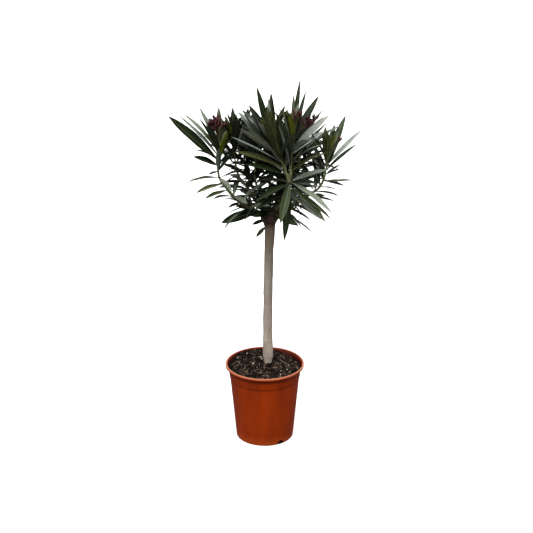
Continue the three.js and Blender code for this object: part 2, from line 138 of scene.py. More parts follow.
class Graph:
    """The nodes of one material, or of the room's light."""

    def __init__(self, owner: bpy.types.Material | bpy.types.World, shader: str, output: str) -> None:
        """Empties the owner's nodes, and gives it one shader.

        Args:
            owner: The material or the world.
            shader: The type of its shader node.
            output: The type of its output node.
        """
        self.owner = owner
        owner.use_nodes = True
        self.tree = owner.node_tree
        self.tree.nodes.clear()
        self.surface = self.node(shader, {}, {})
        self.tree.links.new(self.surface.outputs[0], self.node(output, {}, {}).inputs["Surface"])

    @classmethod
    def of_material(cls, name: str) -> "Graph":
        """The nodes of a new material."""
        return cls(bpy.data.materials.new(name), "ShaderNodeBsdfPrincipled", "ShaderNodeOutputMaterial")

    @classmethod
    def of_world(cls, name: str) -> "Graph":
        """The nodes of a new world."""
        return cls(bpy.data.worlds.new(name), "ShaderNodeBackground", "ShaderNodeOutputWorld")

    def node(self, kind: str, settings: dict[str, object],
             sockets: dict[str | int, object]) -> bpy.types.Node:
        """Adds one node.

        Args:
            kind: The node's type.
            settings: Its own settings, which are set first. "stops" are a ramp's positions and colours.
            sockets: A value or a Flow for each input named.

        Returns:
            The node.
        """
        made = self.tree.nodes.new(kind)
        for key, value in settings.items():
            if key == "stops":
                self._set_stops(made.color_ramp, value)
            else:
                setattr(made, key, value)
        for key, value in sockets.items():
            self.feed(made.inputs[key], value)
        return made

    def _set_stops(self, ramp: bpy.types.ColorRamp, stops: Sequence[tuple[float, Colour]]) -> None:
        """Gives a ramp its stops.

        Args:
            ramp: The ramp.
            stops: Each stop's position and colour, from the lowest position to the highest.
        """
        while len(ramp.elements) < len(stops):
            ramp.elements.new(0.5)
        for element, (position, colour) in zip(ramp.elements, stops):
            element.position = position
            element.color = (*colour, 1.0)

    def feed(self, target: bpy.types.NodeSocket, value: object) -> None:
        """Links a Flow to an input, or sets a plain value on it.

        Args:
            target: The input.
            value: A Flow, a number, a colour or a vector.
        """
        if isinstance(value, Flow):
            self.tree.links.new(value.socket, target)
        elif target.type == "RGBA":
            target.default_value = (*value, 1.0)
        else:
            target.default_value = value

    def maths(self, operation: str, *values: "Flow | float") -> Flow:
        """Works out a number with a Math node.

        Args:
            operation: The Math node's operation.
            values: Its operands.

        Returns:
            The result.
        """
        made = self.node("ShaderNodeMath", {"operation": operation}, dict(enumerate(values)))
        return Flow(self, made.outputs["Value"])

    def place(self, stretch: Sequence[float] = (1.0, 1.0, 1.0)) -> Flow:
        """The point being shaded, in metres, scaled along each axis.

        Args:
            stretch: The scale along X, Y and Z.

        Returns:
            The point.
        """
        point = Flow(self, self.node("ShaderNodeTexCoord", {}, {}).outputs["Object"])
        scaled = self.node("ShaderNodeVectorMath", {"operation": "MULTIPLY"}, {0: point, 1: stretch})
        return Flow(self, scaled.outputs["Vector"])

    def distance_to(self, point: Point) -> Flow:
        """How far the point being shaded is from another.

        Args:
            point: The other point.

        Returns:
            The distance, in metres.
        """
        made = self.node("ShaderNodeVectorMath", {"operation": "DISTANCE"}, {0: self.place(), 1: point})
        return Flow(self, made.outputs["Value"])

    def axis(self, name: str) -> Flow:
        """One coordinate of the point being shaded.

        Args:
            name: X, Y or Z.

        Returns:
            The coordinate, in metres.
        """
        return Flow(self, self.node("ShaderNodeSeparateXYZ", {}, {"Vector": self.place()}).outputs[name])

    def noise(self, scale: float, detail: float = 3.0, roughness: float = 0.55,
              stretch: Sequence[float] = (1.0, 1.0, 1.0)) -> Flow:
        """Soft noise from 0 to 1.

        Args:
            scale: Features per metre.
            detail: Number of finer layers.
            roughness: Strength of the finer layers.
            stretch: How the space is scaled before the noise is read.

        Returns:
            The noise.
        """
        made = self.node("ShaderNodeTexNoise", {}, {
            "Vector": self.place(stretch), "Scale": scale, "Detail": detail, "Roughness": roughness})
        return Flow(self, made.outputs["Fac"])

    def ramp(self, value: Flow, stops: Sequence[tuple[float, Colour]]) -> Flow:
        """A colour looked up along a ramp.

        Args:
            value: The position along the ramp.
            stops: The ramp's stops.

        Returns:
            The colour.
        """
        return Flow(self, self.node("ShaderNodeValToRGB", {"stops": stops}, {"Fac": value}).outputs["Color"])

    def between(self, value: Flow, low: float, high: float) -> Flow:
        """How far a value has come from low to high, from 0 to 1, with soft ends.

        Args:
            value: The value.
            low: Where the result is 0.
            high: Where the result is 1.

        Returns:
            The share.
        """
        made = self.node("ShaderNodeMapRange", {"interpolation_type": "SMOOTHSTEP"}, {
            "Value": value, "From Min": low, "From Max": high})
        return Flow(self, made.outputs["Result"])

    def mix(self, share: "Flow | float", first: "Flow | Colour", second: "Flow | Colour") -> Flow:
        """Mixes two colours.

        Args:
            share: The part of the second.
            first: The first colour.
            second: The second colour.

        Returns:
            The colour.
        """
        made = self.node("ShaderNodeMix", {"data_type": "RGBA"}, {0: share, 6: first, 7: second})
        return Flow(self, made.outputs[2])

    def mottled(self, pattern: Flow, colour: Colour, spread: float,
                low: float = 0.3, high: float = 0.7) -> Flow:
        """A colour that goes from darker to lighter with a pattern.

        Args:
            pattern: The pattern, from 0 to 1.
            colour: The middle colour.
            spread: How much darker and lighter it gets, as a share of itself.
            low: Where the pattern is darkest.
            high: Where it is lightest.

        Returns:
            The colour.
        """
        share = self.between(pattern, low, high)
        return self.mix(share, shade(colour, 1.0 - spread), shade(colour, 1.0 + spread))

    def relief(self, height: Flow, strength: float, depth: float) -> Flow:
        """A normal bent by a height.

        Args:
            height: The height, from 0 to 1.
            strength: How much of the relief shows.
            depth: The relief's depth, in metres.

        Returns:
            The normal.
        """
        made = self.node("ShaderNodeBump", {}, {"Strength": strength, "Distance": depth, "Height": height})
        return Flow(self, made.outputs["Normal"])

    def finish(self, sockets: dict[str, object]) -> bpy.types.Material | bpy.types.World:
        """Feeds the shader.

        Args:
            sockets: A value or a Flow for each of the shader's inputs named.

        Returns:
            The finished material or world.
        """
        for key, value in sockets.items():
            self.feed(self.surface.inputs[key], value)
        return self.owner


def shade(colour: Colour, factor: float) -> Colour:
    """A colour made lighter or darker."""
    return tuple(min(1.0, part * factor) for part in colour)


# ----------------------------------------------------------------------------------- finishes


@dataclass(frozen=True)
class PotPlastic:
    """Moulded plastic the colour of fired clay: satin, streaked and dusty, with painted light and shade.

    The rim is pale, partly from wear and partly as a painted highlight that is strongest at the front. Near
    the bottom the plastic is painted lighter, as if lit from the floor. Beneath the lip and the raised band
    it is painted darker, as shade, and under_edge_shade is the share of the colour that is left there.
    """

    name: str = "pot_plastic"
    body: Colour = (0.280, 0.029, 0.0015)
    # Pale along the rim: partly wear and partly a painted highlight.
    wear_and_highlight: Colour = (0.43, 0.145, 0.068)
    # A lighter orange painted near the bottom, as light bounced up from the floor.
    painted_floor_light: Colour = (0.40, 0.070, 0.008)
    dust: Colour = (0.34, 0.22, 0.15)
    under_edge_shade: float = 0.25
    rim_height: float = 0.2045
    lip_height: float = 0.2036
    band_height: float = 0.1725
    roughness: float = 0.42

    def _painted_shade_under(self, graph: Graph, top: float, depth: float) -> Flow:
        """A line of painted shade beneath an edge.

        Args:
            graph: The material's graph.
            top: Height of the edge.
            depth: How far down the line fades out.

        Returns:
            How deep the painted shade is, from 0 to 1.
        """
        height = graph.axis("Z")
        above = graph.between(height, top, top + 0.0008)
        return graph.between(height, top - depth, top - depth * 0.4) * (1.0 - above)

    def material(self) -> bpy.types.Material:
        """Builds the material.

        Returns:
            The material.
        """
        graph = Graph.of_material(self.name)
        streaks = graph.noise(38.0, 3.0, 0.5, (1.0, 1.0, 0.12))
        cloud = graph.noise(9.0, 4.0, 0.6)
        grain = graph.noise(900.0, 2.0)
        dust = graph.between(graph.noise(60.0, 6.0, 0.72), 0.58, 0.82)
        low = 1.0 - graph.between(graph.axis("Z"), 0.0, 0.03)
        body = graph.mottled(streaks, self.body, 0.14)
        body = graph.mix(graph.between(cloud, 0.35, 0.7) * 0.5, body, shade(self.body, 0.72))
        # Painted light: near the bottom the cloudy patches turn a lighter orange, as if lit from the floor.
        body = graph.mix(low * (cloud * 0.9), body, self.painted_floor_light)
        # Painted shade: the colour darkens beneath the lip and beneath the raised band.
        for top, depth, strength in ((self.lip_height, 0.013, 0.62), (self.band_height, 0.005, 0.45)):
            body = graph.mix(self._painted_shade_under(graph, top, depth) * strength, body, shade(self.body, self.under_edge_shade))
        edge = graph.between(graph.axis("Z"), self.rim_height, self.rim_height + 0.004)
        # The lip's pale colour is partly wear and partly a painted highlight, painted palest at the front and
        # darker at the back.
        front_lit_share = 1.0 - graph.between(graph.axis("Y"), 0.01, 0.09) * 0.8
        body = graph.mix(edge * front_lit_share * 0.78, body, self.wear_and_highlight)
        body = graph.mix(dust * (low * 0.3 + 0.07), body, self.dust)
        rough = cloud * 0.12 + grain * 0.06 + dust * 0.15 + (self.roughness - 0.1)
        return graph.finish({
            "Base Color": body, "Roughness": rough, "Specular IOR Level": 0.16,
            "Normal": graph.relief(streaks * 0.5 + grain * 0.3 + cloud, 0.25, 0.0006)})


@dataclass(frozen=True)
class Crumb:
    """One of the compost's ingredients: dark peat, bark, pale fibre or a white grain."""

    name: str
    colour: Colour
    spread: float = 0.5
    roughness: float = 0.95

    def material(self) -> bpy.types.Material:
        """Builds the material.

        Returns:
            The material.
        """
        graph = Graph.of_material(self.name)
        patches = graph.noise(260.0, 4.0, 0.65)
        grain = graph.noise(1400.0, 3.0, 0.7)
        colour = graph.mottled(patches * 0.6 + grain * 0.4, self.colour, self.spread, 0.35, 0.65)
        return graph.finish({
            "Base Color": colour, "Roughness": self.roughness, "Specular IOR Level": 0.05,
            "Normal": graph.relief(grain + patches, 0.6, 0.0012)})


@dataclass(frozen=True)
class TrunkBark:
    """Grey-beige bark with fine upright cracks and corky dots, browner upwards, dark on the head with painted
    shade.
    """

    name: str
    foot: float
    head: float
    pale: Colour = (0.47, 0.40, 0.335)
    grey: Colour = (0.30, 0.252, 0.205)
    crack: Colour = (0.095, 0.072, 0.055)
    upper: Colour = (0.142, 0.098, 0.060)
    swollen: Colour = (0.070, 0.034, 0.026)
    hollow_shade: Colour = (0.014, 0.005, 0.004)
    scar: Colour = (0.190, 0.088, 0.040)

    def material(self) -> bpy.types.Material:
        """Builds the material.

        Returns:
            The material.
        """
        graph = Graph.of_material(self.name)
        height = graph.between(graph.axis("Z"), self.foot, self.head)
        patches = graph.noise(30.0, 5.0, 0.6, (1.0, 1.0, 0.35))
        cracks = graph.noise(210.0, 4.0, 0.65, (1.0, 1.0, 0.10))
        dots = graph.between(graph.noise(330.0, 1.0, 0.4, (1.0, 1.0, 1.9)), 0.66, 0.74)
        grain = graph.noise(1600.0, 3.0, 0.6, (1.0, 1.0, 0.4))
        bark = graph.mix(graph.between(patches, 0.32, 0.66), self.grey, self.pale)
        bark = graph.mix(graph.between(cracks, 0.54, 0.74) * 0.72, bark, self.crack)
        bark = graph.mix(dots * 0.45, bark, shade(self.pale, 1.25))
        bark = graph.mix(graph.between(height, 0.02, 0.20) * 0.55, bark, shade(self.grey, 0.92))
        upper = graph.between(height + patches * 0.20, 0.72, 1.06)
        bark = graph.mix(upper * 0.70, bark, self.upper)
        head = graph.between(height + patches * 0.03, 0.982, 1.008)
        mottle = graph.noise(130.0, 2.0, 0.5)
        # Painted shade: near-black patches on the head stand in for the shade in its crevices.
        swollen = graph.mix(graph.between(mottle, 0.40, 0.52), self.hollow_shade, self.swollen)
        swollen = graph.mix(graph.between(mottle, 0.56, 0.64) * 0.8, swollen, self.scar)
        bark = graph.mix(head * 0.85, bark, swollen)
        return graph.finish({
            "Base Color": bark, "Roughness": 0.88 - cracks * 0.1, "Specular IOR Level": 0.12,
            "Normal": graph.relief(cracks * 1.4 + grain * 0.3 + dots * 0.5, 0.7, 0.0009)})


@dataclass(frozen=True)
class BoughBark:
    """Bark of the boughs: brown where they leave the head, turning green towards the shoots."""

    name: str
    head: Point
    brown: Colour = (0.068, 0.053, 0.036)
    green: Colour = (0.12, 0.135, 0.05)
    near: float = 0.05
    far: float = 0.21

    def material(self) -> bpy.types.Material:
        """Builds the material.

        Returns:
            The material.
        """
        graph = Graph.of_material(self.name)
        patches = graph.noise(90.0, 4.0, 0.6)
        grain = graph.noise(700.0, 3.0, 0.6)
        share = graph.between(graph.distance_to(self.head) + patches * 0.05, self.near, self.far)
        wood = graph.mix(share, self.brown, self.green)
        wood = graph.mix(graph.between(patches, 0.4, 0.7) * 0.4, wood, shade(self.brown, 1.7))
        return graph.finish({
            "Base Color": wood, "Roughness": 0.7 + grain * 0.15, "Specular IOR Level": 0.3,
            "Normal": graph.relief(grain + patches, 0.5, 0.0006)})


@dataclass(frozen=True)
class LeafSkin:
    """One face of a leaf, or its rib: barely mottled, under a waxy film, and darker within the crown as
    painted shade.

    Within shaded of the crown's heart only the share heart_shade of the colour is left, and beyond open all
    of it.
    """

    name: str
    colour: Colour
    roughness: float = 0.4
    wax: float = 0.5
    heart: Point = (0.0, 0.01, 0.79)
    shaded: float = 0.06
    open: float = 0.21
    heart_shade: float = 0.20

    def material(self) -> bpy.types.Material:
        """Builds the material.

        Returns:
            The material.
        """
        graph = Graph.of_material(self.name)
        mottle = graph.noise(140.0, 3.0, 0.6)
        pores = graph.noise(2600.0, 2.0)
        # Painted shade: the colour darkens towards the crown's heart, where the leaves shade each other.
        outer = graph.between(graph.distance_to(self.heart) + mottle * 0.03, self.shaded, self.open)
        colour = graph.mix(outer, shade(self.colour, self.heart_shade), graph.mottled(mottle, self.colour, 0.18))
        return graph.finish({
            "Base Color": colour, "Roughness": mottle * 0.14 + (self.roughness - 0.07),
            "Specular IOR Level": self.wax, "Normal": graph.relief(pores, 0.12, 0.0003)})


def leaf_skins(tone: str, *coats: tuple[Colour, float, float]) -> tuple[LeafSkin, ...]:
    """The skins of one kind of leaf.

    Args:
        tone: The kind's name.
        coats: Colour, roughness and wax of the upper face, the underside and the rib.

    Returns:
        The three skins.
    """
    return tuple(LeafSkin(f"leaf_{tone}_{part}", *coat) for part, coat in zip(("top", "under", "rib"), coats))


class LeafTone(Enum):
    """The skins of a leaf by its age and place, some with painted sheen: the upper face, the underside and
    the rib of each.
    """

    DEEP = leaf_skins("deep", ((0.010, 0.018, 0.005), 0.40, 0.08),
                      ((0.034, 0.046, 0.022), 0.5, 0.08), ((0.055, 0.066, 0.034), 0.5, 0.2))
    FULL = leaf_skins("full", ((0.026, 0.041, 0.010), 0.38, 0.22),
                      ((0.088, 0.108, 0.068), 0.5, 0.2), ((0.075, 0.092, 0.048), 0.5, 0.2))
    OLIVE = leaf_skins("olive", ((0.040, 0.046, 0.013), 0.42, 0.20),
                       ((0.065, 0.072, 0.026), 0.5, 0.2), ((0.19, 0.20, 0.06), 0.5, 0.2))
    # Young leaves: the underside is brighter, partly its own paler colour and partly painted light shining
    # through.
    YOUNG = leaf_skins("young", ((0.090, 0.120, 0.008), 0.45, 0.20),
                       ((0.130, 0.155, 0.010), 0.5, 0.12), ((0.20, 0.23, 0.04), 0.5, 0.2))
    # Waxy leaves: a real waxy bloom, with the colour made paler still as a painted sheen.
    WAXY_SHEEN = leaf_skins("waxy", ((0.112, 0.135, 0.092), 0.42, 0.75),
                      ((0.165, 0.195, 0.145), 0.5, 0.4), ((0.22, 0.25, 0.16), 0.5, 0.35))
    # Painted highlight: near-white leaves that stand in for the sheen of the light on them.
    PAINTED_SHEEN = leaf_skins("pale", ((0.21, 0.24, 0.20), 0.42, 0.6),
                      ((0.25, 0.28, 0.235), 0.5, 0.3), ((0.31, 0.34, 0.27), 0.5, 0.3))

    @property
    def skins(self) -> tuple[LeafSkin, ...]:
        """The upper face, the underside and the rib."""
        return self.value


@dataclass(frozen=True)
class BudSkin:
    """The skin of the buds and of their stalks: mottled and faintly waxy."""

    name: str
    colour: Colour

    def material(self) -> bpy.types.Material:
        """Builds the material.

        Returns:
            The material.
        """
        graph = Graph.of_material(self.name)
        mottle = graph.noise(420.0, 3.0, 0.6)
        return graph.finish({
            "Base Color": graph.mottled(mottle, self.colour, 0.3),
            "Roughness": mottle * 0.1 + 0.45, "Specular IOR Level": 0.4,
            "Normal": graph.relief(mottle, 0.3, 0.0004)})


Finish = PotPlastic | Crumb | TrunkBark | BoughBark | LeafSkin | BudSkin


# ----------------------------------------------------------------------------------- geometry


class Skin:
    """A mesh in the making: points and faces, each face with its finish."""

    def __init__(self) -> None:
        """Starts with nothing."""
        self.points: list[np.ndarray] = []
        self.faces: list[tuple[int, ...]] = []
        self.finishes: list[Finish] = []
        self.wears: list[int] = []
        self.count = 0

    def add(self, points: np.ndarray, faces: Iterable[Sequence[int]],
            finishes: Sequence[Finish], wears: Sequence[int] | None = None) -> None:
        """Adds a patch of skin.

        Args:
            points: The patch's own points, one row each.
            faces: Its faces, as rows of its own point numbers.
            finishes: The finishes that it uses.
            wears: For each face, which of those finishes it wears; the first if left out.
        """
        faces = [tuple(int(corner) + self.count for corner in face) for face in faces]
        slots = [self._slot(finish) for finish in finishes]
        self.points.append(np.asarray(points, float))
        self.faces.extend(faces)
        self.wears.extend([slots[0]] * len(faces) if wears is None else [slots[wear] for wear in wears])
        self.count += len(points)

    def add_limb(self, limb: "Spine", finish: Finish, sides: int, steps: int,
                 swell: Swell | None = None) -> None:
        """Adds a limb with both ends closed.

        Args:
            limb: Its centre line and radius.
            finish: Its finish.
            sides: Points in each ring.
            steps: Number of rings.
            swell: The relief on it, as Spine.rings takes it; none if left out.
        """
        self.add(limb.rings(sides, steps, swell), tube_faces(steps, sides), [finish])

    def _slot(self, finish: Finish) -> int:
        """The number of a finish on this skin, which takes it on when it is new.

        Args:
            finish: The finish.

        Returns:
            Its number.
        """
        if finish not in self.finishes:
            self.finishes.append(finish)
        return self.finishes.index(finish)

    def build(self, name: str, slot: Slot, nodes: Sequence[str] = (),
              crease: float = 40.0) -> bpy.types.Object:
        """Makes the piece, and says what it rides on and stands for.

        Args:
            name: The piece's name.
            slot: The record's slot; not used.
            nodes: The frame's nodes that it replaces.
            crease: Edges bent by more than this stay sharp.

        Returns:
            The piece.
        """
        mesh = bpy.data.meshes.new(name)
        mesh.from_pydata(np.concatenate(self.points).tolist(), [], self.faces)
        for finish in self.finishes:
            mesh.materials.append(Wardrobe.material(finish))
        mesh.polygons.foreach_set("material_index", self.wears)
        mesh.polygons.foreach_set("use_smooth", [True] * len(self.faces))
        mesh.set_sharp_from_angle(angle=math.radians(crease))
        mesh.update()
        piece = bpy.data.objects.new(name, mesh)
        bpy.context.scene.collection.objects.link(piece)
        settle(piece, nodes)
        return piece


class Wardrobe:
    """The materials made so far, one for each finish."""

    made: ClassVar[dict[Finish, bpy.types.Material]] = {}

    @classmethod
    def material(cls, finish: Finish) -> bpy.types.Material:
        """The material of a finish, made when it is first asked for.

        Args:
            finish: The finish.

        Returns:
            Its material.
        """
        if finish not in cls.made:
            cls.made[finish] = finish.material()
        return cls.made[finish]


def settle(piece: bpy.types.Object, nodes: Sequence[str]) -> None:
    """Puts a piece on the frame, and reports it.

    Args:
        piece: The piece.
        nodes: The frame's nodes that it replaces.
    """
    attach(piece, ROOT)
    if nodes:
        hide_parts(*nodes)
    LOG.info("%s: %d faces, replaces %s", piece.name, len(piece.data.polygons),
             ", ".join(nodes) or "nothing")


def unit(vector: np.ndarray) -> np.ndarray:
    """A vector of length 1 in the same direction."""
    return vector / max(1e-12, float(np.linalg.norm(vector)))


def across(direction: np.ndarray) -> tuple[np.ndarray, np.ndarray]:
    """Two unit vectors square to a direction and to each other.

    Args:
        direction: The direction.

    Returns:
        The two vectors, turning right-handed about it.
    """
    first = unit(np.cross(direction, (0.0, 1.0, 0.001)))
    return first, np.cross(direction, first)


def heading(azimuth: float, pitch: float = 0.0) -> np.ndarray:
    """The unit vector of a direction.

    Args:
        azimuth: Its turn about the upright, in degrees, from the right-hand side.
        pitch: Its rise above the level, in degrees.

    Returns:
        The vector.
    """
    turn, rise = math.radians(azimuth), math.radians(pitch)
    return np.array([math.cos(turn) * math.cos(rise), math.sin(turn) * math.cos(rise), math.sin(rise)])


def turned(first: np.ndarray, second: np.ndarray, turn: float) -> np.ndarray:
    """The vector at a turn, in radians, from the first of two square vectors towards the second."""
    return first * math.cos(turn) + second * math.sin(turn)


def circle(count: int, shift: float = 0.0) -> list[float]:
    """Even turns round a full circle, in radians, moved on by a share of one step."""
    return [2 * math.pi * (step + shift) / count for step in range(count)]


def scatter(a: float, b: float, c: float = 0.0) -> float:
    """A pseudo-random value from 0 to 1 that is always the same for the same three numbers."""
    value = math.sin(12.9898 * a + 78.233 * b + 37.719 * c) * 43758.5453
    return value - math.floor(value)


def smooth(value: float, low: float, high: float) -> float:
    """How far a value has come from low to high, from 0 to 1, with soft ends."""
    share = min(1.0, max(0.0, (value - low) / (high - low)))
    return share * share * (3.0 - 2.0 * share)


def grid_faces(rows: int, sides: int) -> list[tuple[int, int, int, int]]:
    """The faces of a tube.

    Args:
        rows: Number of rings.
        sides: Points in each ring.

    Returns:
        Four-sided faces that look outwards when the rings turn right-handed along the tube.
    """
    return [(row * sides + side, row * sides + (side + 1) % sides,
             (row + 1) * sides + (side + 1) % sides, (row + 1) * sides + side)
            for row in range(rows - 1) for side in range(sides)]


def tube_faces(rows: int, sides: int) -> list[tuple[int, ...]]:
    """The faces of a tube with both ends closed."""
    last = (rows - 1) * sides
    return [*grid_faces(rows, sides), tuple(range(sides - 1, -1, -1)), tuple(range(last, last + sides))]


def lathe_faces(rows: int, sides: int) -> list[tuple[int, ...]]:
    """The faces of a turned shape: a middle point, its rings, and another middle point.

    Args:
        rows: Number of rings.
        sides: Points in each ring.

    Returns:
        Faces that look outwards when the rings turn right-handed along the shape.
    """
    last = 1 + rows * sides
    ring = last - sides
    walls = [tuple(corner + 1 for corner in face) for face in grid_faces(rows, sides)]
    foot = [(0, 1 + (side + 1) % sides, 1 + side) for side in range(sides)]
    top = [(last, ring + side, ring + (side + 1) % sides) for side in range(sides)]
    return [*walls, *foot, *top]


@dataclass
class Spine:
    """A limb's centre line with its radius, from foot to tip.

    feel is how far to both sides of a place its direction is taken.
    """

    points: np.ndarray
    radii: np.ndarray
    feel: ClassVar[float] = 0.006

    @classmethod
    def of_node(cls, node: bpy.types.Object, measure: Callable[[np.ndarray], np.ndarray],
                steps: int, skip: float = 0.0) -> "Spine":
        """Reads a limb's centre line from its node.

        Args:
            node: The frame's node.
            measure: How far along the limb each point of it lies.
            steps: Number of points to read.
            skip: The share of the limb left out at its foot, where other limbs cut into it.

        Returns:
            The centre line.
        """
        corners = np.array([vertex.co for vertex in node.data.vertices])
        edges = np.array([edge.vertices for edge in node.data.edges])
        far = measure(corners)
        low, high = float(far.min()), float(far.max())
        span = high - low
        points, radii = [], []
        # The very ends are left out, because a level there cuts no clean ring.
        for level in np.linspace(low + (skip + 0.001) * span, high - 0.002 * span, steps):
            start, end = far[edges[:, 0]], far[edges[:, 1]]
            crossing = (start - level) * (end - level) < 0
            share = ((level - start[crossing]) / (end[crossing] - start[crossing]))[:, None]
            cut = corners[edges[crossing, 0]] * (1 - share) + corners[edges[crossing, 1]] * share
            centre = cut.mean(0)
            points.append(centre)
            radii.append(np.linalg.norm(cut - centre, axis=1).mean())
        return cls(np.array(points), np.array(radii))

    def smoothed(self, rounds: int) -> "Spine":
        """The same limb with its kinks eased out.

        Args:
            rounds: How many times each point is drawn towards its neighbours.

        Returns:
            The smoother limb.
        """
        points, radii = self.points.copy(), self.radii.copy()
        for _ in range(rounds):
            for values in (points, radii):
                values[1:-1] = 0.25 * values[:-2] + 0.5 * values[1:-1] + 0.25 * values[2:]
        return Spine(points, radii)

    def joined(self, other: "Spine") -> "Spine":
        """This limb followed by another."""
        return Spine(np.vstack([self.points, other.points]), np.concatenate([self.radii, other.radii]))

    @property
    def reach(self) -> np.ndarray:
        """The distance of each point from the foot, along the limb."""
        steps = np.linalg.norm(np.diff(self.points, axis=0), axis=1)
        return np.concatenate([[0.0], np.cumsum(steps)])

    def at(self, distance: float) -> tuple[np.ndarray, np.ndarray, float]:
        """A place on the limb.

        Args:
            distance: How far from the foot.

        Returns:
            The point, the direction there and the radius.
        """
        reach = self.reach
        here, before, after = [
            np.array([np.interp(distance + aside, reach, self.points[:, axis]) for axis in range(3)])
            for aside in (0.0, -self.feel, self.feel)]
        return here, unit(after - before), float(np.interp(distance, reach, self.radii))

    def rings(self, sides: int, steps: int, swell: Swell | None = None) -> np.ndarray:
        """Rings of points round the limb.

        Args:
            sides: Points in each ring.
            steps: Number of rings.
            swell: What is added to the radius, from the distance from the foot, the turn in radians and
                the point of the plain limb; nothing if left out.

        Returns:
            The points, ring after ring.
        """
        points = []
        first = np.array([1.0, 0.0, 0.0])
        for distance in np.linspace(0.0, self.reach[-1], steps):
            centre, along, radius = self.at(float(distance))
            first = unit(first - along * float(first @ along))
            second = np.cross(along, first)
            for turn in circle(sides):
                out = turned(first, second, turn)
                plain = centre + out * radius
                points.append(plain + out * swell(float(distance), turn, plain) if swell else plain)
        return np.array(points)


# ---------------------------------------------------------------------------------------- pot


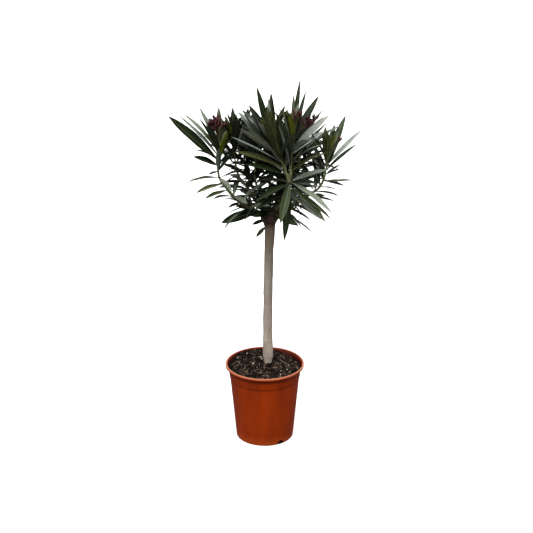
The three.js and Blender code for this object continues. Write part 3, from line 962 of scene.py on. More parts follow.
@dataclass
class Pot:
    """The nursery pot: a thin tapered shell with a rolled lip, a raised band and drain slots.

    warp is how far the rim is out of round, as a share of its radius.
    """

    neck_radius: float = 0.0942
    foot_radius: float = 0.0770
    edge_radius: float = 0.0030
    wall: float = 0.0016
    lip: float = 0.0062
    flare_drop: float = 0.020
    band_drop: float = 0.0375
    band_step: float = 0.0014
    roll: float = 0.0024
    recess: float = 0.0024
    warp: float = 0.0016
    slots: int = 3
    slot_azimuth: float = 303.0
    slot_width: float = 0.016
    slot_foot: float = 0.0007
    slot_height: float = 0.0110
    slot_inwards: float = 0.013
    slot_outwards: float = 0.020
    sides: int = 192
    crease: float = 32.0
    outside: PotPlastic = PotPlastic()
    # A darker copy of the plastic, as painted shade within the pot.
    shaded_inside: PotPlastic = PotPlastic("pot_inside_shade", (0.095, 0.010, 0.0012), (0.16, 0.030, 0.010))
    # A near-black painted shadow for the slots' cut faces and the thin sheet left under them.
    shadow: PotPlastic = PotPlastic("pot_slot_shadow", *[(0.010, 0.0025, 0.0010)] * 3)

    def wall_radius(self, height: float, top: float) -> float:
        """Radius of the outside of the plain wall.

        Args:
            height: Height above the floor.
            top: The pot's full height.

        Returns:
            The radius.
        """
        share = (height - self.edge_radius) / (top - self.flare_drop - self.edge_radius)
        return self.foot_radius + (self.neck_radius - self.foot_radius) * share

    def outline(self, rim: float, top: float) -> list[tuple[float, float]]:
        """The pot's section, from the middle of its underside, over the rim, to the middle of its floor.

        Args:
            rim: Radius over the lip.
            top: The pot's full height.

        Returns:
            Radius and height of each corner.
        """
        centre = self.foot_radius - self.edge_radius
        band, flare = top - self.band_drop, top - self.flare_drop
        neck = self.wall_radius(flare, top) + self.band_step
        underside = [(0.0, self.recess), (centre - 0.012, self.recess),
                     (centre - 0.009, 0.0004), (centre - 0.0075, 0.0)]
        edge = [(centre + self.edge_radius * math.sin(turn), self.edge_radius * (1 - math.cos(turn)))
                for turn in np.linspace(0.0, math.pi / 2, 9)]
        wall = [(self.wall_radius(height, top), height)
                for height in np.linspace(self.edge_radius, band, 18)[1:]]
        raised = [(self.wall_radius(band, top) + self.band_step * 0.8, band + 0.0008),
                  (self.wall_radius(band, top) + self.band_step, band + 0.0020),
                  (neck - 0.0002, flare - 0.0015), (neck + 0.0004, flare + 0.0010)]
        flared = [(rim - 0.0068, top - self.lip - 0.0042), (rim - 0.0050, top - self.lip - 0.0022),
                  (rim - 0.0018, top - self.lip - 0.0012), (rim - 0.0003, top - self.lip)]
        roll = [(rim - self.roll + self.roll * math.cos(turn), top - self.roll + self.roll * math.sin(turn))
                for turn in np.linspace(0.0, math.pi, 9)]
        throat = [(rim - 0.0060, top - 0.0050), (rim - 0.0078, top - self.lip - 0.0030),
                  (neck - self.wall + 0.0010, flare + 0.0030), (neck - self.wall, flare)]
        inner = [(self.wall_radius(height, top) - self.wall, height)
                 for height in np.linspace(band, self.edge_radius, 10)]
        floor = [(centre, self.recess + self.wall), (0.0, self.recess + self.wall)]
        return [*underside, *edge, *wall, *raised, *flared, *roll, *throat, *inner, *floor]

    def build(self) -> None:
        """Makes the pot, which wears a darker copy of its plastic, as painted shade, from the top of the lip
        inwards.
        """
        low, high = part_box("pot")
        outline = self.outline((high.x - low.x) / 2, high.z)
        points = [(0.0, 0.0, outline[0][1])]
        for radius, height in outline[1:-1]:
            for turn in circle(self.sides):
                warp = 1.0 + self.warp * math.sin(2 * turn + 0.7) * (height / high.z)
                points.append((radius * warp * math.cos(turn), radius * warp * math.sin(turn), height))
        points.append((0.0, 0.0, outline[-1][1]))
        faces = lathe_faces(len(outline) - 2, self.sides)
        brink = max(row for row, (_, height) in enumerate(outline) if height > high.z - 0.001) * self.sides
        # Painted shade: faces from the top of the lip on wear the darker copy of the plastic.
        wears = [int(min(face) > brink) for face in faces]
        skin = Skin()
        skin.add(np.array(points), faces, [self.outside, self.shaded_inside, self.shadow], wears)
        self._cut_slots(skin.build("nursery_pot", Slot.POT, ["pot"], self.crease))

    def _cut_slots(self, piece: bpy.types.Object) -> None:
        """Cuts the drain slots through the bottom edge, above a thin sheet that is left at the floor as a
        painted shadow.

        Args:
            piece: The pot.
        """
        cutters = Skin()
        half, shoulder = self.slot_width / 2, self.slot_height * 0.72
        section = [(-half, self.slot_foot), (half, self.slot_foot), (half, shoulder),
                   (half * 0.55, self.slot_height), (-half * 0.55, self.slot_height), (-half, shoulder)]
        for slot in range(self.slots):
            out = heading(self.slot_azimuth + 360.0 / self.slots * slot)
            aside = np.cross(UP, out)
            points = [out * (self.foot_radius + reach) + aside * width + UP * height
                      for reach in (-self.slot_inwards, self.slot_outwards) for width, height in section]
            cutters.add(np.array(points), tube_faces(2, len(section)), [self.shadow])
        tool = bpy.data.objects.new("slot_tool", bpy.data.meshes.new("slot_tool"))
        tool.data.from_pydata(np.concatenate(cutters.points).tolist(), [], cutters.faces)
        # The cut faces, the top of the thin sheet among them, wear the pot's last finish, a near-black
        # painted shadow.
        dark = len(piece.data.materials) - 1
        tool.data.polygons.foreach_set("material_index", [dark] * len(cutters.faces))
        bpy.context.scene.collection.objects.link(tool)
        cut = piece.modifiers.new("slots", "BOOLEAN")
        cut.operation, cut.solver, cut.object = "DIFFERENCE", "EXACT", tool
        apply_modifiers(piece)
        bpy.data.objects.remove(tool)
        piece.data.set_sharp_from_angle(angle=math.radians(self.crease))


def apply_modifiers(piece: bpy.types.Object) -> None:
    """Gives a piece the mesh that its modifiers make, and removes them.

    Args:
        piece: The piece.
    """
    bpy.context.view_layer.update()
    shown = piece.evaluated_get(bpy.context.evaluated_depsgraph_get())
    made = bpy.data.meshes.new_from_object(shown)
    piece.modifiers.clear()
    piece.data = made


# ------------------------------------------------------------------------------------ compost


@dataclass
class Compost:
    """The compost's uneven surface with everything that lies on it.

    Straws and grains that are listed one by one have their place first. Then comes a straw's length, radius
    and direction in radians, or half a grain's length.
    """

    pot: Pot
    stem: tuple[float, float] = (0.009, 0.020)
    stem_gap: float = 0.013
    rings: int = 66
    segments: int = 290
    depth: float = 0.030
    level: float = 0.1996
    overlap: float = 0.0006
    taper: float = 0.96
    heap: float = 0.0095
    heap_azimuth: float = 113.0
    clods: float = 0.0030
    fine_clods: float = 0.0013
    swell: float = 0.0022
    collar: float = 0.0016
    sunk_edge: float = 0.0012
    chips: int = 260
    crumbs: int = 1500
    fibres: int = 520
    grains: int = 10
    seed: int = 41
    laid_straws: tuple[tuple[float, float, float, float, float], ...] = (
        (0.050, 0.022, 0.064, 0.0007, -0.96), (-0.072, 0.004, 0.036, 0.0006, 1.22),
        (-0.056, -0.020, 0.026, 0.0006, 1.10))
    laid_grains: tuple[tuple[float, float, float], ...] = (
        (0.041, -0.057, 0.0030), (-0.031, 0.014, 0.0036), (-0.009, 0.038, 0.0042),
        (-0.010, 0.052, 0.0034), (0.022, 0.058, 0.0024), (0.052, 0.047, 0.0028))
    peat: Crumb = Crumb("compost_peat", (0.0034, 0.0025, 0.0019), 0.6)
    damp: Crumb = Crumb("compost_damp", (0.0018, 0.0015, 0.0012), 0.5)
    chip: Crumb = Crumb("bark_chip", (0.022, 0.0135, 0.0085), 0.6)
    dry: Crumb = Crumb("dry_chip", (0.066, 0.044, 0.030), 0.4)
    straw: Crumb = Crumb("straw", (0.30, 0.215, 0.155), 0.25)
    grain: Crumb = Crumb("white_grain", (0.30, 0.25, 0.20), 0.3)

    def height(self, x: float, y: float) -> float:
        """Height of the surface: a heap, clods, a slow swell, a collar round the stem and a sunken edge.

        Args:
            x: Place from left to right.
            y: Place from front to back.

        Returns:
            The height above the floor.
        """
        out = math.hypot(x, y) / self.pot.neck_radius
        turn = math.radians(self.heap_azimuth)
        towards = (x * math.cos(turn) + y * math.sin(turn)) / self.pot.neck_radius
        near, _ = noise.voronoi(Vector((x * 105, y * 105, 0.3)))
        small, _ = noise.voronoi(Vector((x * 260, y * 260, 4.1)))
        clods = (self.clods * min(1.0, (near[1] - near[0]) * 1.7)
                 + self.fine_clods * min(1.0, (small[1] - small[0]) * 1.8))
        swell = self.swell * noise.fractal(Vector((x * 32, y * 32, 1.7)), 1.0, 2.0, 3)
        collar = self.collar * smooth(0.032 - self._from_stem(x, y), 0.0, 0.018)
        sunk = self.sunk_edge * smooth(out, 0.86, 1.0)
        return self.level + self.heap * smooth(towards, 0.50, 1.05) + clods + swell + collar - sunk

    def _from_stem(self, x: float, y: float) -> float:
        """How far a place is from the middle of the trunk's foot."""
        return math.hypot(x - self.stem[0], y - self.stem[1])

    def build(self) -> None:
        """Makes the compost, ring by ring and closer together near the pot, and what lies on it."""
        edge = self.pot.neck_radius + self.overlap
        points = [(0.0, 0.0, self.height(0.0, 0.0))]
        for ring in range(1, self.rings + 1):
            radius = edge * (ring / self.rings) ** 0.8
            for turn in circle(self.segments, 0.5 * (ring % 2)):
                x, y = radius * math.cos(turn), radius * math.sin(turn)
                points.append((x, y, self.height(x, y)))
        base, foot = self.level - self.depth, edge * self.taper
        points += [(foot * math.cos(turn), foot * math.sin(turn), base)
                   for turn in circle(self.segments, 0.5 * (self.rings % 2))]
        points.append((0.0, 0.0, base))
        ground = Skin()
        ground.add(np.array(points), [face[::-1] for face in lathe_faces(self.rings + 1, self.segments)],
                   [self.peat])
        ground.build("compost", Slot.COMPOST, ["soil"], crease=60.0)
        self._bits().build("compost_bits", Slot.COMPOST)

    def _spot(self, pick: random.Random) -> tuple[float, float]:
        """A place on the compost, clear of the trunk.

        Args:
            pick: The draw of random numbers.

        Returns:
            The place.
        """
        while True:
            radius = (self.pot.neck_radius - 0.004) * math.sqrt(pick.random())
            turn = pick.uniform(0.0, 2 * math.pi)
            x, y = radius * math.cos(turn), radius * math.sin(turn)
            if self._from_stem(x, y) > self.stem_gap:
                return x, y

    def _bits(self) -> Skin:
        """Strews chips, crumbs, fibres and white grains over the surface.

        Returns:
            Their skin.
        """
        pick = random.Random(self.seed)
        skin = Skin()
        for _ in range(self.chips):
            x, y = self._spot(pick)
            size = pick.uniform(0.0010, 0.0026) * (1.5 if pick.random() < 0.12 else 1.0)
            finish = pick.choice([self.chip, self.chip, self.damp, self.damp, self.peat, self.dry])
            half = np.array([size * pick.uniform(1.0, 2.4), size, size * 0.45])
            self._lump(skin, pick, (x, y), half, finish, 2)
        for _ in range(self.crumbs):
            x, y = self._spot(pick)
            size = pick.uniform(0.0005, 0.0014)
            finish = pick.choice([self.peat, self.damp, self.damp, self.chip, self.chip, self.dry])
            self._lump(skin, pick, (x, y), np.array([size, size, size * 0.8]), finish, 1)
        for _ in range(self.grains):
            x, y = self._spot(pick)
            size = pick.uniform(0.0009, 0.0021)
            self._lump(skin, pick, (x, y), np.array([size, size, size * 0.9]), self.grain, 2)
        for _ in range(self.fibres):
            finish = pick.choice([self.straw, self.dry, self.dry, self.chip])
            self._fibre(skin, pick, self._spot(pick), pick.uniform(0.004, 0.014),
                        pick.uniform(0.00025, 0.0006), pick.uniform(0.0, math.pi), finish)
        for x, y, length, radius, turn in self.laid_straws:
            self._fibre(skin, pick, (x, y), length, radius, turn, self.straw)
        for x, y, half in self.laid_grains:
            self._lump(skin, pick, (x, y), np.array([half, half * 0.8, half * 0.7]), self.grain, 2)
        return skin

    def _lump(self, skin: Skin, pick: random.Random, spot: tuple[float, float], half: np.ndarray,
              finish: Crumb, detail: int) -> None:
        """Lays one rough lump on the surface.

        Args:
            skin: The skin that it joins.
            pick: The draw of random numbers.
            spot: Its place.
            half: Half its length, width and height.
            finish: Its finish.
            detail: How finely it is cut.
        """
        ball, faces = self._ball(detail)
        shift = Vector((pick.uniform(0.0, 100.0), 0.0, 0.0))
        rough = np.array([1.0 + 0.45 * noise.noise(Vector(point * 1.6) + shift) for point in ball])
        spin = Matrix.Rotation(pick.uniform(0, 6.28), 3, "Z")
        lean = spin @ Matrix.Rotation(pick.uniform(-0.5, 0.5), 3, "X")
        points = (ball * rough[:, None] * half) @ np.array(lean).T
        rest = np.array([*spot, self.height(*spot) + 0.35 * half[2]])
        skin.add(points + rest, faces, [finish])

    @staticmethod
    def _ball(detail: int) -> tuple[np.ndarray, list[tuple[int, ...]]]:
        """A ball of even triangles.

        Args:
            detail: How finely it is cut: 1 gives 20 faces.

        Returns:
            Its points and its faces.
        """
        golden = (1 + math.sqrt(5)) / 2
        points = [unit(np.array(point)) for point in (
            (-1, golden, 0), (1, golden, 0), (-1, -golden, 0), (1, -golden, 0),
            (0, -1, golden), (0, 1, golden), (0, -1, -golden), (0, 1, -golden),
            (golden, 0, -1), (golden, 0, 1), (-golden, 0, -1), (-golden, 0, 1))]
        faces = [(0, 11, 5), (0, 5, 1), (0, 1, 7), (0, 7, 10), (0, 10, 11),
                 (1, 5, 9), (5, 11, 4), (11, 10, 2), (10, 7, 6), (7, 1, 8),
                 (3, 9, 4), (3, 4, 2), (3, 2, 6), (3, 6, 8), (3, 8, 9),
                 (4, 9, 5), (2, 4, 11), (6, 2, 10), (8, 6, 7), (9, 8, 1)]
        for _ in range(detail - 1):
            halves: dict[frozenset[int], int] = {}
            finer = []
            for face in faces:
                middles = []
                for start, end in zip(face, face[1:] + face[:1]):
                    key = frozenset((start, end))
                    if key not in halves:
                        halves[key] = len(points)
                        points.append(unit(points[start] + points[end]))
                    middles.append(halves[key])
                a, b, c = face
                ab, bc, ca = middles
                finer += [(a, ab, ca), (b, bc, ab), (c, ca, bc), (ab, bc, ca)]
            faces = finer
        return np.array(points), faces

    def _fibre(self, skin: Skin, pick: random.Random, spot: tuple[float, float], length: float,
               radius: float, turn: float, finish: Crumb) -> None:
        """Lays one fibre or straw on the surface.

        Args:
            skin: The skin that it joins.
            pick: The draw of random numbers.
            spot: The place of its middle.
            length: Its length.
            radius: Its radius.
            turn: Its direction, in radians.
            finish: Its finish.
        """
        steps, bow = 7, pick.uniform(-0.25, 0.25) * length
        line = []
        for step in range(steps):
            share = step / (steps - 1) - 0.5
            aside = bow * (share * share - 0.1)
            x = spot[0] + share * length * math.cos(turn) - aside * math.sin(turn)
            y = spot[1] + share * length * math.sin(turn) + aside * math.cos(turn)
            reach = min(1.0, (self.pot.neck_radius - 0.001) / math.hypot(x, y))
            line.append((x * reach, y * reach, self.height(x * reach, y * reach) + radius * 0.7))
        skin.add_limb(Spine(np.array(line), np.full(steps, radius)).smoothed(2), finish, sides=5, steps=9)


# -------------------------------------------------------------------------------------- limbs


@dataclass
class Trunk:
    """The single clear stem, with fissured bark and a swollen head where it was pruned to branch.

    cork is how much its bark adds all round, and bulge how much more it swells on the right below the head.
    Each stub has its azimuth, its height above the middle of the head, and its radius.
    """

    sides: int = 56
    rings: int = 230
    slices: int = 40
    sunk: float = 0.006
    dome: float = 0.55
    head_drop: float = 0.010
    fissure: float = 0.00075
    swelling: float = 0.0011
    joint: float = 0.0004
    joint_gap: float = 0.047
    flare: float = 0.0070
    bulge: float = 0.0036
    cork: float = 0.0007
    stubs: tuple[tuple[float, float, float], ...] = (
        (262.0, -0.0085, 0.0062), (215.0, -0.003, 0.0055), (330.0, -0.001, 0.0058), (80.0, -0.006, 0.006))
    stub_length: float = 0.0185
    spine: Spine = field(init=False)
    finish: TrunkBark = field(init=False)

    def __post_init__(self) -> None:
        """Reads the stem's line from its node."""
        low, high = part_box("trunk")
        self.spine = Spine.of_node(NODES["trunk"], lambda corners: corners[:, 2], self.slices).smoothed(1)
        self.spine.points[0, 2] = low.z - self.sunk
        self.spine.radii[-1] *= self.dome
        self.finish = TrunkBark("trunk_bark", low.z, high.z)

    @property
    def head(self) -> np.ndarray:
        """The middle of the swollen head."""
        tip = self.spine.points[-1]
        return np.array([tip[0], tip[1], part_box("trunk")[1].z - self.head_drop])

    def _bark(self, distance: float, turn: float, place: np.ndarray) -> float:
        """The bark's relief.

        Args:
            distance: The distance from the foot.
            turn: The direction round the stem, in radians.
            place: The point of the plain stem.

        Returns:
            The height of the relief.
        """
        crack = 1.0 - abs(noise.noise(Vector(place * (190, 190, 17)))) * 2.2
        fine = noise.fractal(Vector(place * (420, 420, 60)), 0.9, 2.1, 3)
        lumps = noise.noise(Vector(place * (45, 45, 26)))
        joint = math.exp(-(((distance + 0.006 * math.sin(turn)) % self.joint_gap - 0.02) / 0.0028) ** 2)
        total = float(self.spine.reach[-1])
        knuckle = smooth(distance, total - 0.030, total - 0.012)
        right = max(0.0, math.cos(turn)) * smooth(distance, total - 0.11, total - 0.05)
        return (self.fissure * 0.35 * fine - self.fissure * max(0.0, crack) ** 3
                + self.swelling * lumps * (1 + 1.5 * knuckle) + self.joint * joint
                + self.flare * knuckle + self.cork + self.bulge * right)

    @staticmethod
    def _lumpy(distance: float, turn: float, place: np.ndarray) -> float:
        """The relief of a healed stub: lumpy wood, the same whichever way it faces."""
        return 0.0009 * noise.noise(Vector(place * 300))

    def build(self) -> None:
        """Makes the stem with its pruning stubs, which swell a little and then round off at the end."""
        skin = Skin()
        skin.add_limb(self.spine, self.finish, self.sides, self.rings, self._bark)
        for azimuth, rise, radius in self.stubs:
            start, way = self.head + UP * rise, unit(heading(azimuth) + UP * 0.45)
            line = np.array([start + way * reach for reach in np.linspace(0.0, self.stub_length, 12)])
            radii = np.full(12, radius)
            radii[-4:] *= (1.08, 1.06, 0.9, 0.55)
            skin.add_limb(Spine(line, radii), self.finish, sides=20, steps=26, swell=self._lumpy)
        skin.build("trunk_bark", Slot.BARK, ["trunk"], crease=50.0)


@dataclass(frozen=True)
class Aim:
    """A leaf that has turned its own way: which whorl it stands in, and where it points."""

    whorl: int
    azimuth: float
    pitch: float
    length: float
    sag: float = 10.0
    roll: float = 0.0
    tone: LeafTone | None = None
    breadth: float = 1.0


@dataclass(frozen=True)
class Truss:
    """A flower head at a shoot's tip: how rich it is, where it points, and how long its bare stalk is."""

    bloom: Bloom
    azimuth: float
    pitch: float
    stalk: float = 0.022


@dataclass
class Shoot:
    """One leafy shoot, from the end of its bough to its tip, with the bough below it.

    azimuth, reach and rise place its tip from the head of the trunk, and lean is the tip's own tilt. turn is
    where its first leaf stands, and leaf is the length of a full-grown one: the first whorl has tip_leaf of
    it. The leaves open from nose at the tip to spread, over about ease whorls, and droop below. whole says
    that the node is the entire bough, and skip is the share of the node left out at its foot. fallen are
    the whorl and arm of each leaf that is missing, and extra_masses the other leaf masses that it fills.
    """

    name: str
    side: Side
    azimuth: float
    reach: float
    rise: float
    whorls: int
    leaf: float
    turn: float
    lean: float
    spread: float = 84.0
    nose: float = 12.0
    ease: float = 6.6
    droop: float = 0.16
    tip_leaf: float = 0.62
    base: str = ""
    whole: bool = False
    skip: float = 0.12
    stoutness: float = 0.0029
    tip_radius: float = 0.0016
    ripening: float = 0.05
    ring_gap: float = 0.0016
    scar_width: float = 0.0011
    spur_seed: int = 900
    tones: tuple[LeafTone, ...] = (LeafTone.DEEP, LeafTone.FULL, LeafTone.DEEP, LeafTone.WAXY_SHEEN)
    trusses: tuple[Truss, ...] = ()
    aims: tuple[Aim, ...] = ()
    fallen: tuple[tuple[int, int], ...] = ()
    extra_masses: tuple[str, ...] = ()
    spurs: int = 0
    order: float = 0
    path: Spine = field(init=False)

    def grow(self, head: np.ndarray, foot: np.ndarray) -> None:
        """Reads the bough from its node, and carries it on to the shoot's tip.

        Args:
            head: The middle of the trunk's head, which the shoot's place is measured from.
            foot: Where the bough leaves the trunk or its own bough.
        """
        wood = Spine.of_node(NODES[self.bough], lambda corners: np.linalg.norm(corners - foot, axis=1), 14,
                             self.skip).smoothed(1)
        start = wood.points[0]
        root = Spine(np.array([foot, foot + (start - foot) * 0.5]), np.full(2, wood.radii[:3].max()))
        wood = root.joined(wood)
        if self.whole:
            self.path = wood.smoothed(2)
            return
        end, along, radius = wood.at(wood.reach[-1])
        out = heading(self.azimuth)
        tip = head + out * self.reach + UP * self.rise
        span = float(np.linalg.norm(tip - end)) / 3
        first, second = end + along * span, tip - turned(UP, out, math.radians(self.lean)) * span
        line, widths = [], []
        for share in np.linspace(0.0, 1.0, 13)[1:]:
            rest = 1 - share
            line.append(rest ** 3 * end + 3 * rest ** 2 * share * first + 3 * rest * share ** 2 * second
                        + share ** 3 * tip)
            widths.append(radius + (self.tip_radius - radius) * share)
        self.path = wood.joined(Spine(np.array(line), np.array(widths))).smoothed(2)

    def spur(self, number: int) -> "Shoot":
        """Grows a short leafy twig from the side of the bough.

        Args:
            number: Which of the bough's spurs it is, from 0.

        Returns:
            The twig, as a shoot of its own.
        """
        pick = random.Random(self.spur_seed + 20 * int(self.order) + number)
        place = 0.30 + 0.48 * (number + pick.random()) / self.spurs
        foot, tangent, radius = self.path.at(float(self.path.reach[-1]) * place)
        way = unit(tangent * 0.7 + heading(360 * scatter(self.order, number, 0.4), pick.uniform(-10, 30)))
        length = pick.uniform(0.030, 0.052)
        line = np.array([foot + (way + UP * 0.35 * share) * length * share
                         for share in np.linspace(0.0, 1.0, 6)])
        twig = Shoot(f"{self.name}_spur", self.side, azimuth=0, reach=0, rise=0, whorls=5,
                     leaf=pick.uniform(0.075, 0.105), turn=pick.uniform(0, 120), lean=0, spread=96, nose=34,
                     ease=2.6, tones=self.tones, order=self.order + 0.03 * (number + 1))
        twig.path = Spine(line, np.linspace(min(radius * 0.7, 0.0019), 0.0011, 6))
        return twig

    @property
    def bough(self) -> str:
        """The name of the bough's node."""
        return f"twig_{self.name}" if self.name.startswith("low") else f"bough_{self.name}"

    @property
    def masses(self) -> list[str]:
        """The names of the leaf masses that the shoot's leaves stand for."""
        return [f"leaves_{self.name}", *self.extra_masses]

    @staticmethod
    def depth(whorl: float) -> float:
        """How far below the tip a whorl stands: the whorls are closest at the tip."""
        return 0.0045 * whorl + 0.00095 * whorl * whorl

    def wood_skin(self, skin: Skin, finish: BoughBark) -> None:
        """Adds the bough and the shoot's own stem, ringed with leaf scars.

        Args:
            skin: The skin that they join.
            finish: Their bark.
        """
        total = float(self.path.reach[-1])
        scars = [total - self.depth(whorl) for whorl in range(2, 24)]

        def bark(distance: float, turn: float, place: np.ndarray) -> float:
            """The relief: fine grain, and at each whorl a ridge with three leaf scars.

            Args:
                distance: The distance from the foot.
                turn: The direction round the stem, in radians.
                place: The point of the plain stem.

            Returns:
                The height of the relief.
            """
            grain = 0.00025 * noise.fractal(Vector(place * 260), 1.0, 2.0, 2)
            ridge = max(math.exp(-((distance - scar) / self.scar_width) ** 2) for scar in scars)
            return grain + (0.0003 + 0.0002 * math.cos(3 * turn)) * ridge

        ripe = np.clip((total - self.path.reach) / self.ripening, 0.35, 1.0) * self.stoutness
        stem = Spine(self.path.points, np.maximum(self.path.radii, ripe))
        skin.add_limb(stem, finish, sides=16, steps=int(total / self.ring_gap), swell=bark)

    def leaf_skin(self, skin: Skin) -> int:
        """Adds every whorl of leaves.

        Args:
            skin: The skin that they join.

        Returns:
            The number of leaves.
        """
        whorls = [self._whorl(whorl) for whorl in range(self.whorls)]
        for leaf in sum(whorls, []):
            leaf.skin(skin)
        return sum(map(len, whorls))

    def _whorl(self, whorl: int) -> list["Leaf"]:
        """Grows one whorl of leaves, and turns those that are aimed.

        Args:
            whorl: Its number from the tip down.

        Returns:
            The leaves that haven't fallen.
        """
        total = float(self.path.reach[-1])
        centre, tangent, radius = self.path.at(max(0.0, total - self.depth(whorl)))
        along = unit(tangent + UP * 0.9 * min(1.0, whorl / 7))
        first, second = across(along)
        size = self.leaf * min(1.0, self.tip_leaf + 0.13 * whorl) * max(0.58, 1 - 0.085 * max(0, whorl - 4))
        opening = self.nose + (self.spread - self.nose) * (1 - math.exp(-(whorl / self.ease) ** 1.4))
        leaves = []
        for arm in range(3):
            if (whorl, arm) in self.fallen:
                continue
            wobble = 14 * (scatter(self.order, whorl, arm) - 0.5)
            out = turned(first, second, math.radians(self.turn + 60 * whorl + 120 * arm + wobble))
            leaves.append(Leaf(
                base=centre + out * radius * 0.6, along=along, out=out,
                angle=opening + 16 * (scatter(self.order + 0.3, whorl, arm) - 0.5),
                length=size * (1 + 0.16 * (scatter(self.order + 0.7, whorl, arm) - 0.5)),
                bend=8 + 10 * scatter(self.order + 0.1, whorl, arm),
                droop=self.droop * min(1.0, whorl / 8),
                roll=(26 + 34 * min(1.0, whorl / 7)) * (scatter(self.order + 0.5, whorl, arm) - 0.5),
                fold=34 - 10 * min(1.0, whorl / 6), tone=self._tone(whorl, arm),
                seed=self.order * 100 + whorl * 3 + arm))
        for aim in self.aims:
            if aim.whorl == whorl:
                self._turn_nearest(leaves, aim)
        return leaves

    def _tone(self, whorl: int, arm: int) -> LeafTone:
        """The tone of a leaf: fresh at the tip, and dealt out from the shoot's own tones below.

        Args:
            whorl: The leaf's whorl.
            arm: Its place in the whorl.

        Returns:
            The tone.
        """
        if whorl < 2 and self.whorls > 7:
            return LeafTone.YOUNG if scatter(self.order, whorl + 0.5, arm) < 0.5 else LeafTone.OLIVE
        return self.tones[int(scatter(self.order + 0.9, whorl, arm) * len(self.tones))]

    @staticmethod
    def _turn_nearest(leaves: list["Leaf"], aim: Aim) -> None:
        """Turns the leaf that already points most nearly the right way.

        Args:
            leaves: The whorl's leaves.
            aim: Where the leaf is to point.
        """
        target = heading(aim.azimuth, aim.pitch)
        free = [leaf for leaf in leaves if leaf.aimed is None]
        best = max(free, key=lambda leaf: float(leaf.heading @ target))
        best.aimed, best.length, best.bend, best.roll = target, aim.length, aim.sag, aim.roll
        best.tone = aim.tone or best.tone
        best.breadth = aim.breadth


@dataclass
class Leaf:
    """One lance-shaped, leathery leaf: folded along a pale rib, and closed all round.

    strips says what each strip round its section wears: 0 is the upper face, 1 the underside, 2 the rib.
    """

    base: np.ndarray
    along: np.ndarray
    out: np.ndarray
    angle: float
    length: float
    bend: float
    droop: float
    roll: float
    fold: float
    tone: LeafTone
    seed: float
    breadth: float = 1.0
    aimed: np.ndarray | None = None
    steps: int = 16
    stalk: float = 0.0011
    rib: float = 0.055
    thickness: float = 0.00055
    least_width: float = 0.008
    widening: float = 0.078
    ripple: float = 0.0007
    strips: ClassVar[tuple[int, ...]] = (0, 0, 2, 0, 0, 1, 1, 2, 2, 1, 1)

    @property
    def width(self) -> float:
        """The leaf's width where it is widest: short leaves are the broader ones for their length."""
        return (self.least_width + self.widening * self.length) * self.breadth

    @property
    def heading(self) -> np.ndarray:
        """The direction of the leaf's foot."""
        return unit(turned(self.along, self.out, math.radians(self.angle)))

    def line(self) -> tuple[np.ndarray, np.ndarray]:
        """The leaf's middle line.

        Returns:
            Its points from foot to tip, and its direction at each.
        """
        points, ways = [self.base], []
        for step in range(self.steps):
            share = (step + 0.5) / self.steps
            if self.aimed is None:
                turn = math.radians(self.angle + self.bend * (share - 0.3))
                way = turned(self.along, self.out, turn) - UP * self.droop * share
            else:
                way = self.aimed - UP * math.tan(math.radians(self.bend)) * (share - 0.5)
            ways.append(unit(way))
            points.append(points[-1] + ways[-1] * self.length / self.steps)
        ways = np.array([ways[0], *[(one + other) / 2 for one, other in zip(ways, ways[1:])], ways[-1]])
        return np.array(points), ways / np.linalg.norm(ways, axis=1)[:, None]

    def half_width(self, share: float) -> float:
        """Half the leaf's width.

        Args:
            share: How far along the leaf, from 0 to 1.

        Returns:
            The half width.
        """
        blade = share ** 0.95 * (1 - share) ** 0.9 / (0.51 ** 0.95 * 0.49 ** 0.9)
        return max(0.0001 + self.stalk * (1 - share) ** 0.5, 0.5 * self.width * blade)

    def skin(self, skin: Skin) -> None:
        """Adds the leaf.

        Args:
            skin: The skin that it joins.
        """
        line, ways = self.line()
        twist = 22 * (scatter(self.seed, 1.3) - 0.5)
        wave, phase = self.ripple * scatter(self.seed, 2.9), 6.28 * scatter(self.seed, 4.7)
        fold = math.tan(math.radians(self.fold))
        rows = []
        for row, (centre, way) in enumerate(zip(line, ways)):
            share = row / self.steps
            facing = unit(self.along - way * float(self.along @ way))
            aside = np.cross(way, facing)
            roll = math.radians(self.roll + twist * share)
            side, top = turned(aside, facing, roll), turned(facing, -aside, roll)
            half = self.half_width(share)
            rib = min(half * 0.5, self.rib * self.width * (1 - 0.75 * share))
            thick = self.thickness * (1 - 0.5 * share)
            left = wave * math.sin(phase + share * 15)
            right = wave * math.sin(phase + 2.1 + share * 13)
            edge, blade, seam, near = fold * half * 0.82, fold * half * 0.6, fold * rib, rib / half
            section = (
                (-1.0, edge + left), (-0.55, blade + left * 0.4), (-near, seam), (near, seam),
                (0.55, blade + right * 0.4), (1.0, edge + right), (0.55, blade + right * 0.4 - thick),
                (near, seam - thick), (0.0, -thick - rib * 0.9), (-near, seam - thick),
                (-0.55, blade + left * 0.4 - thick))
            rows += [centre + side * half * reach + top * rise for reach, rise in section]
        sides = len(self.strips)
        wears = [*self.strips * self.steps, 2, 0]
        skin.add(np.array(rows), tube_faces(self.steps + 1, sides), self.tone.skins, wears)


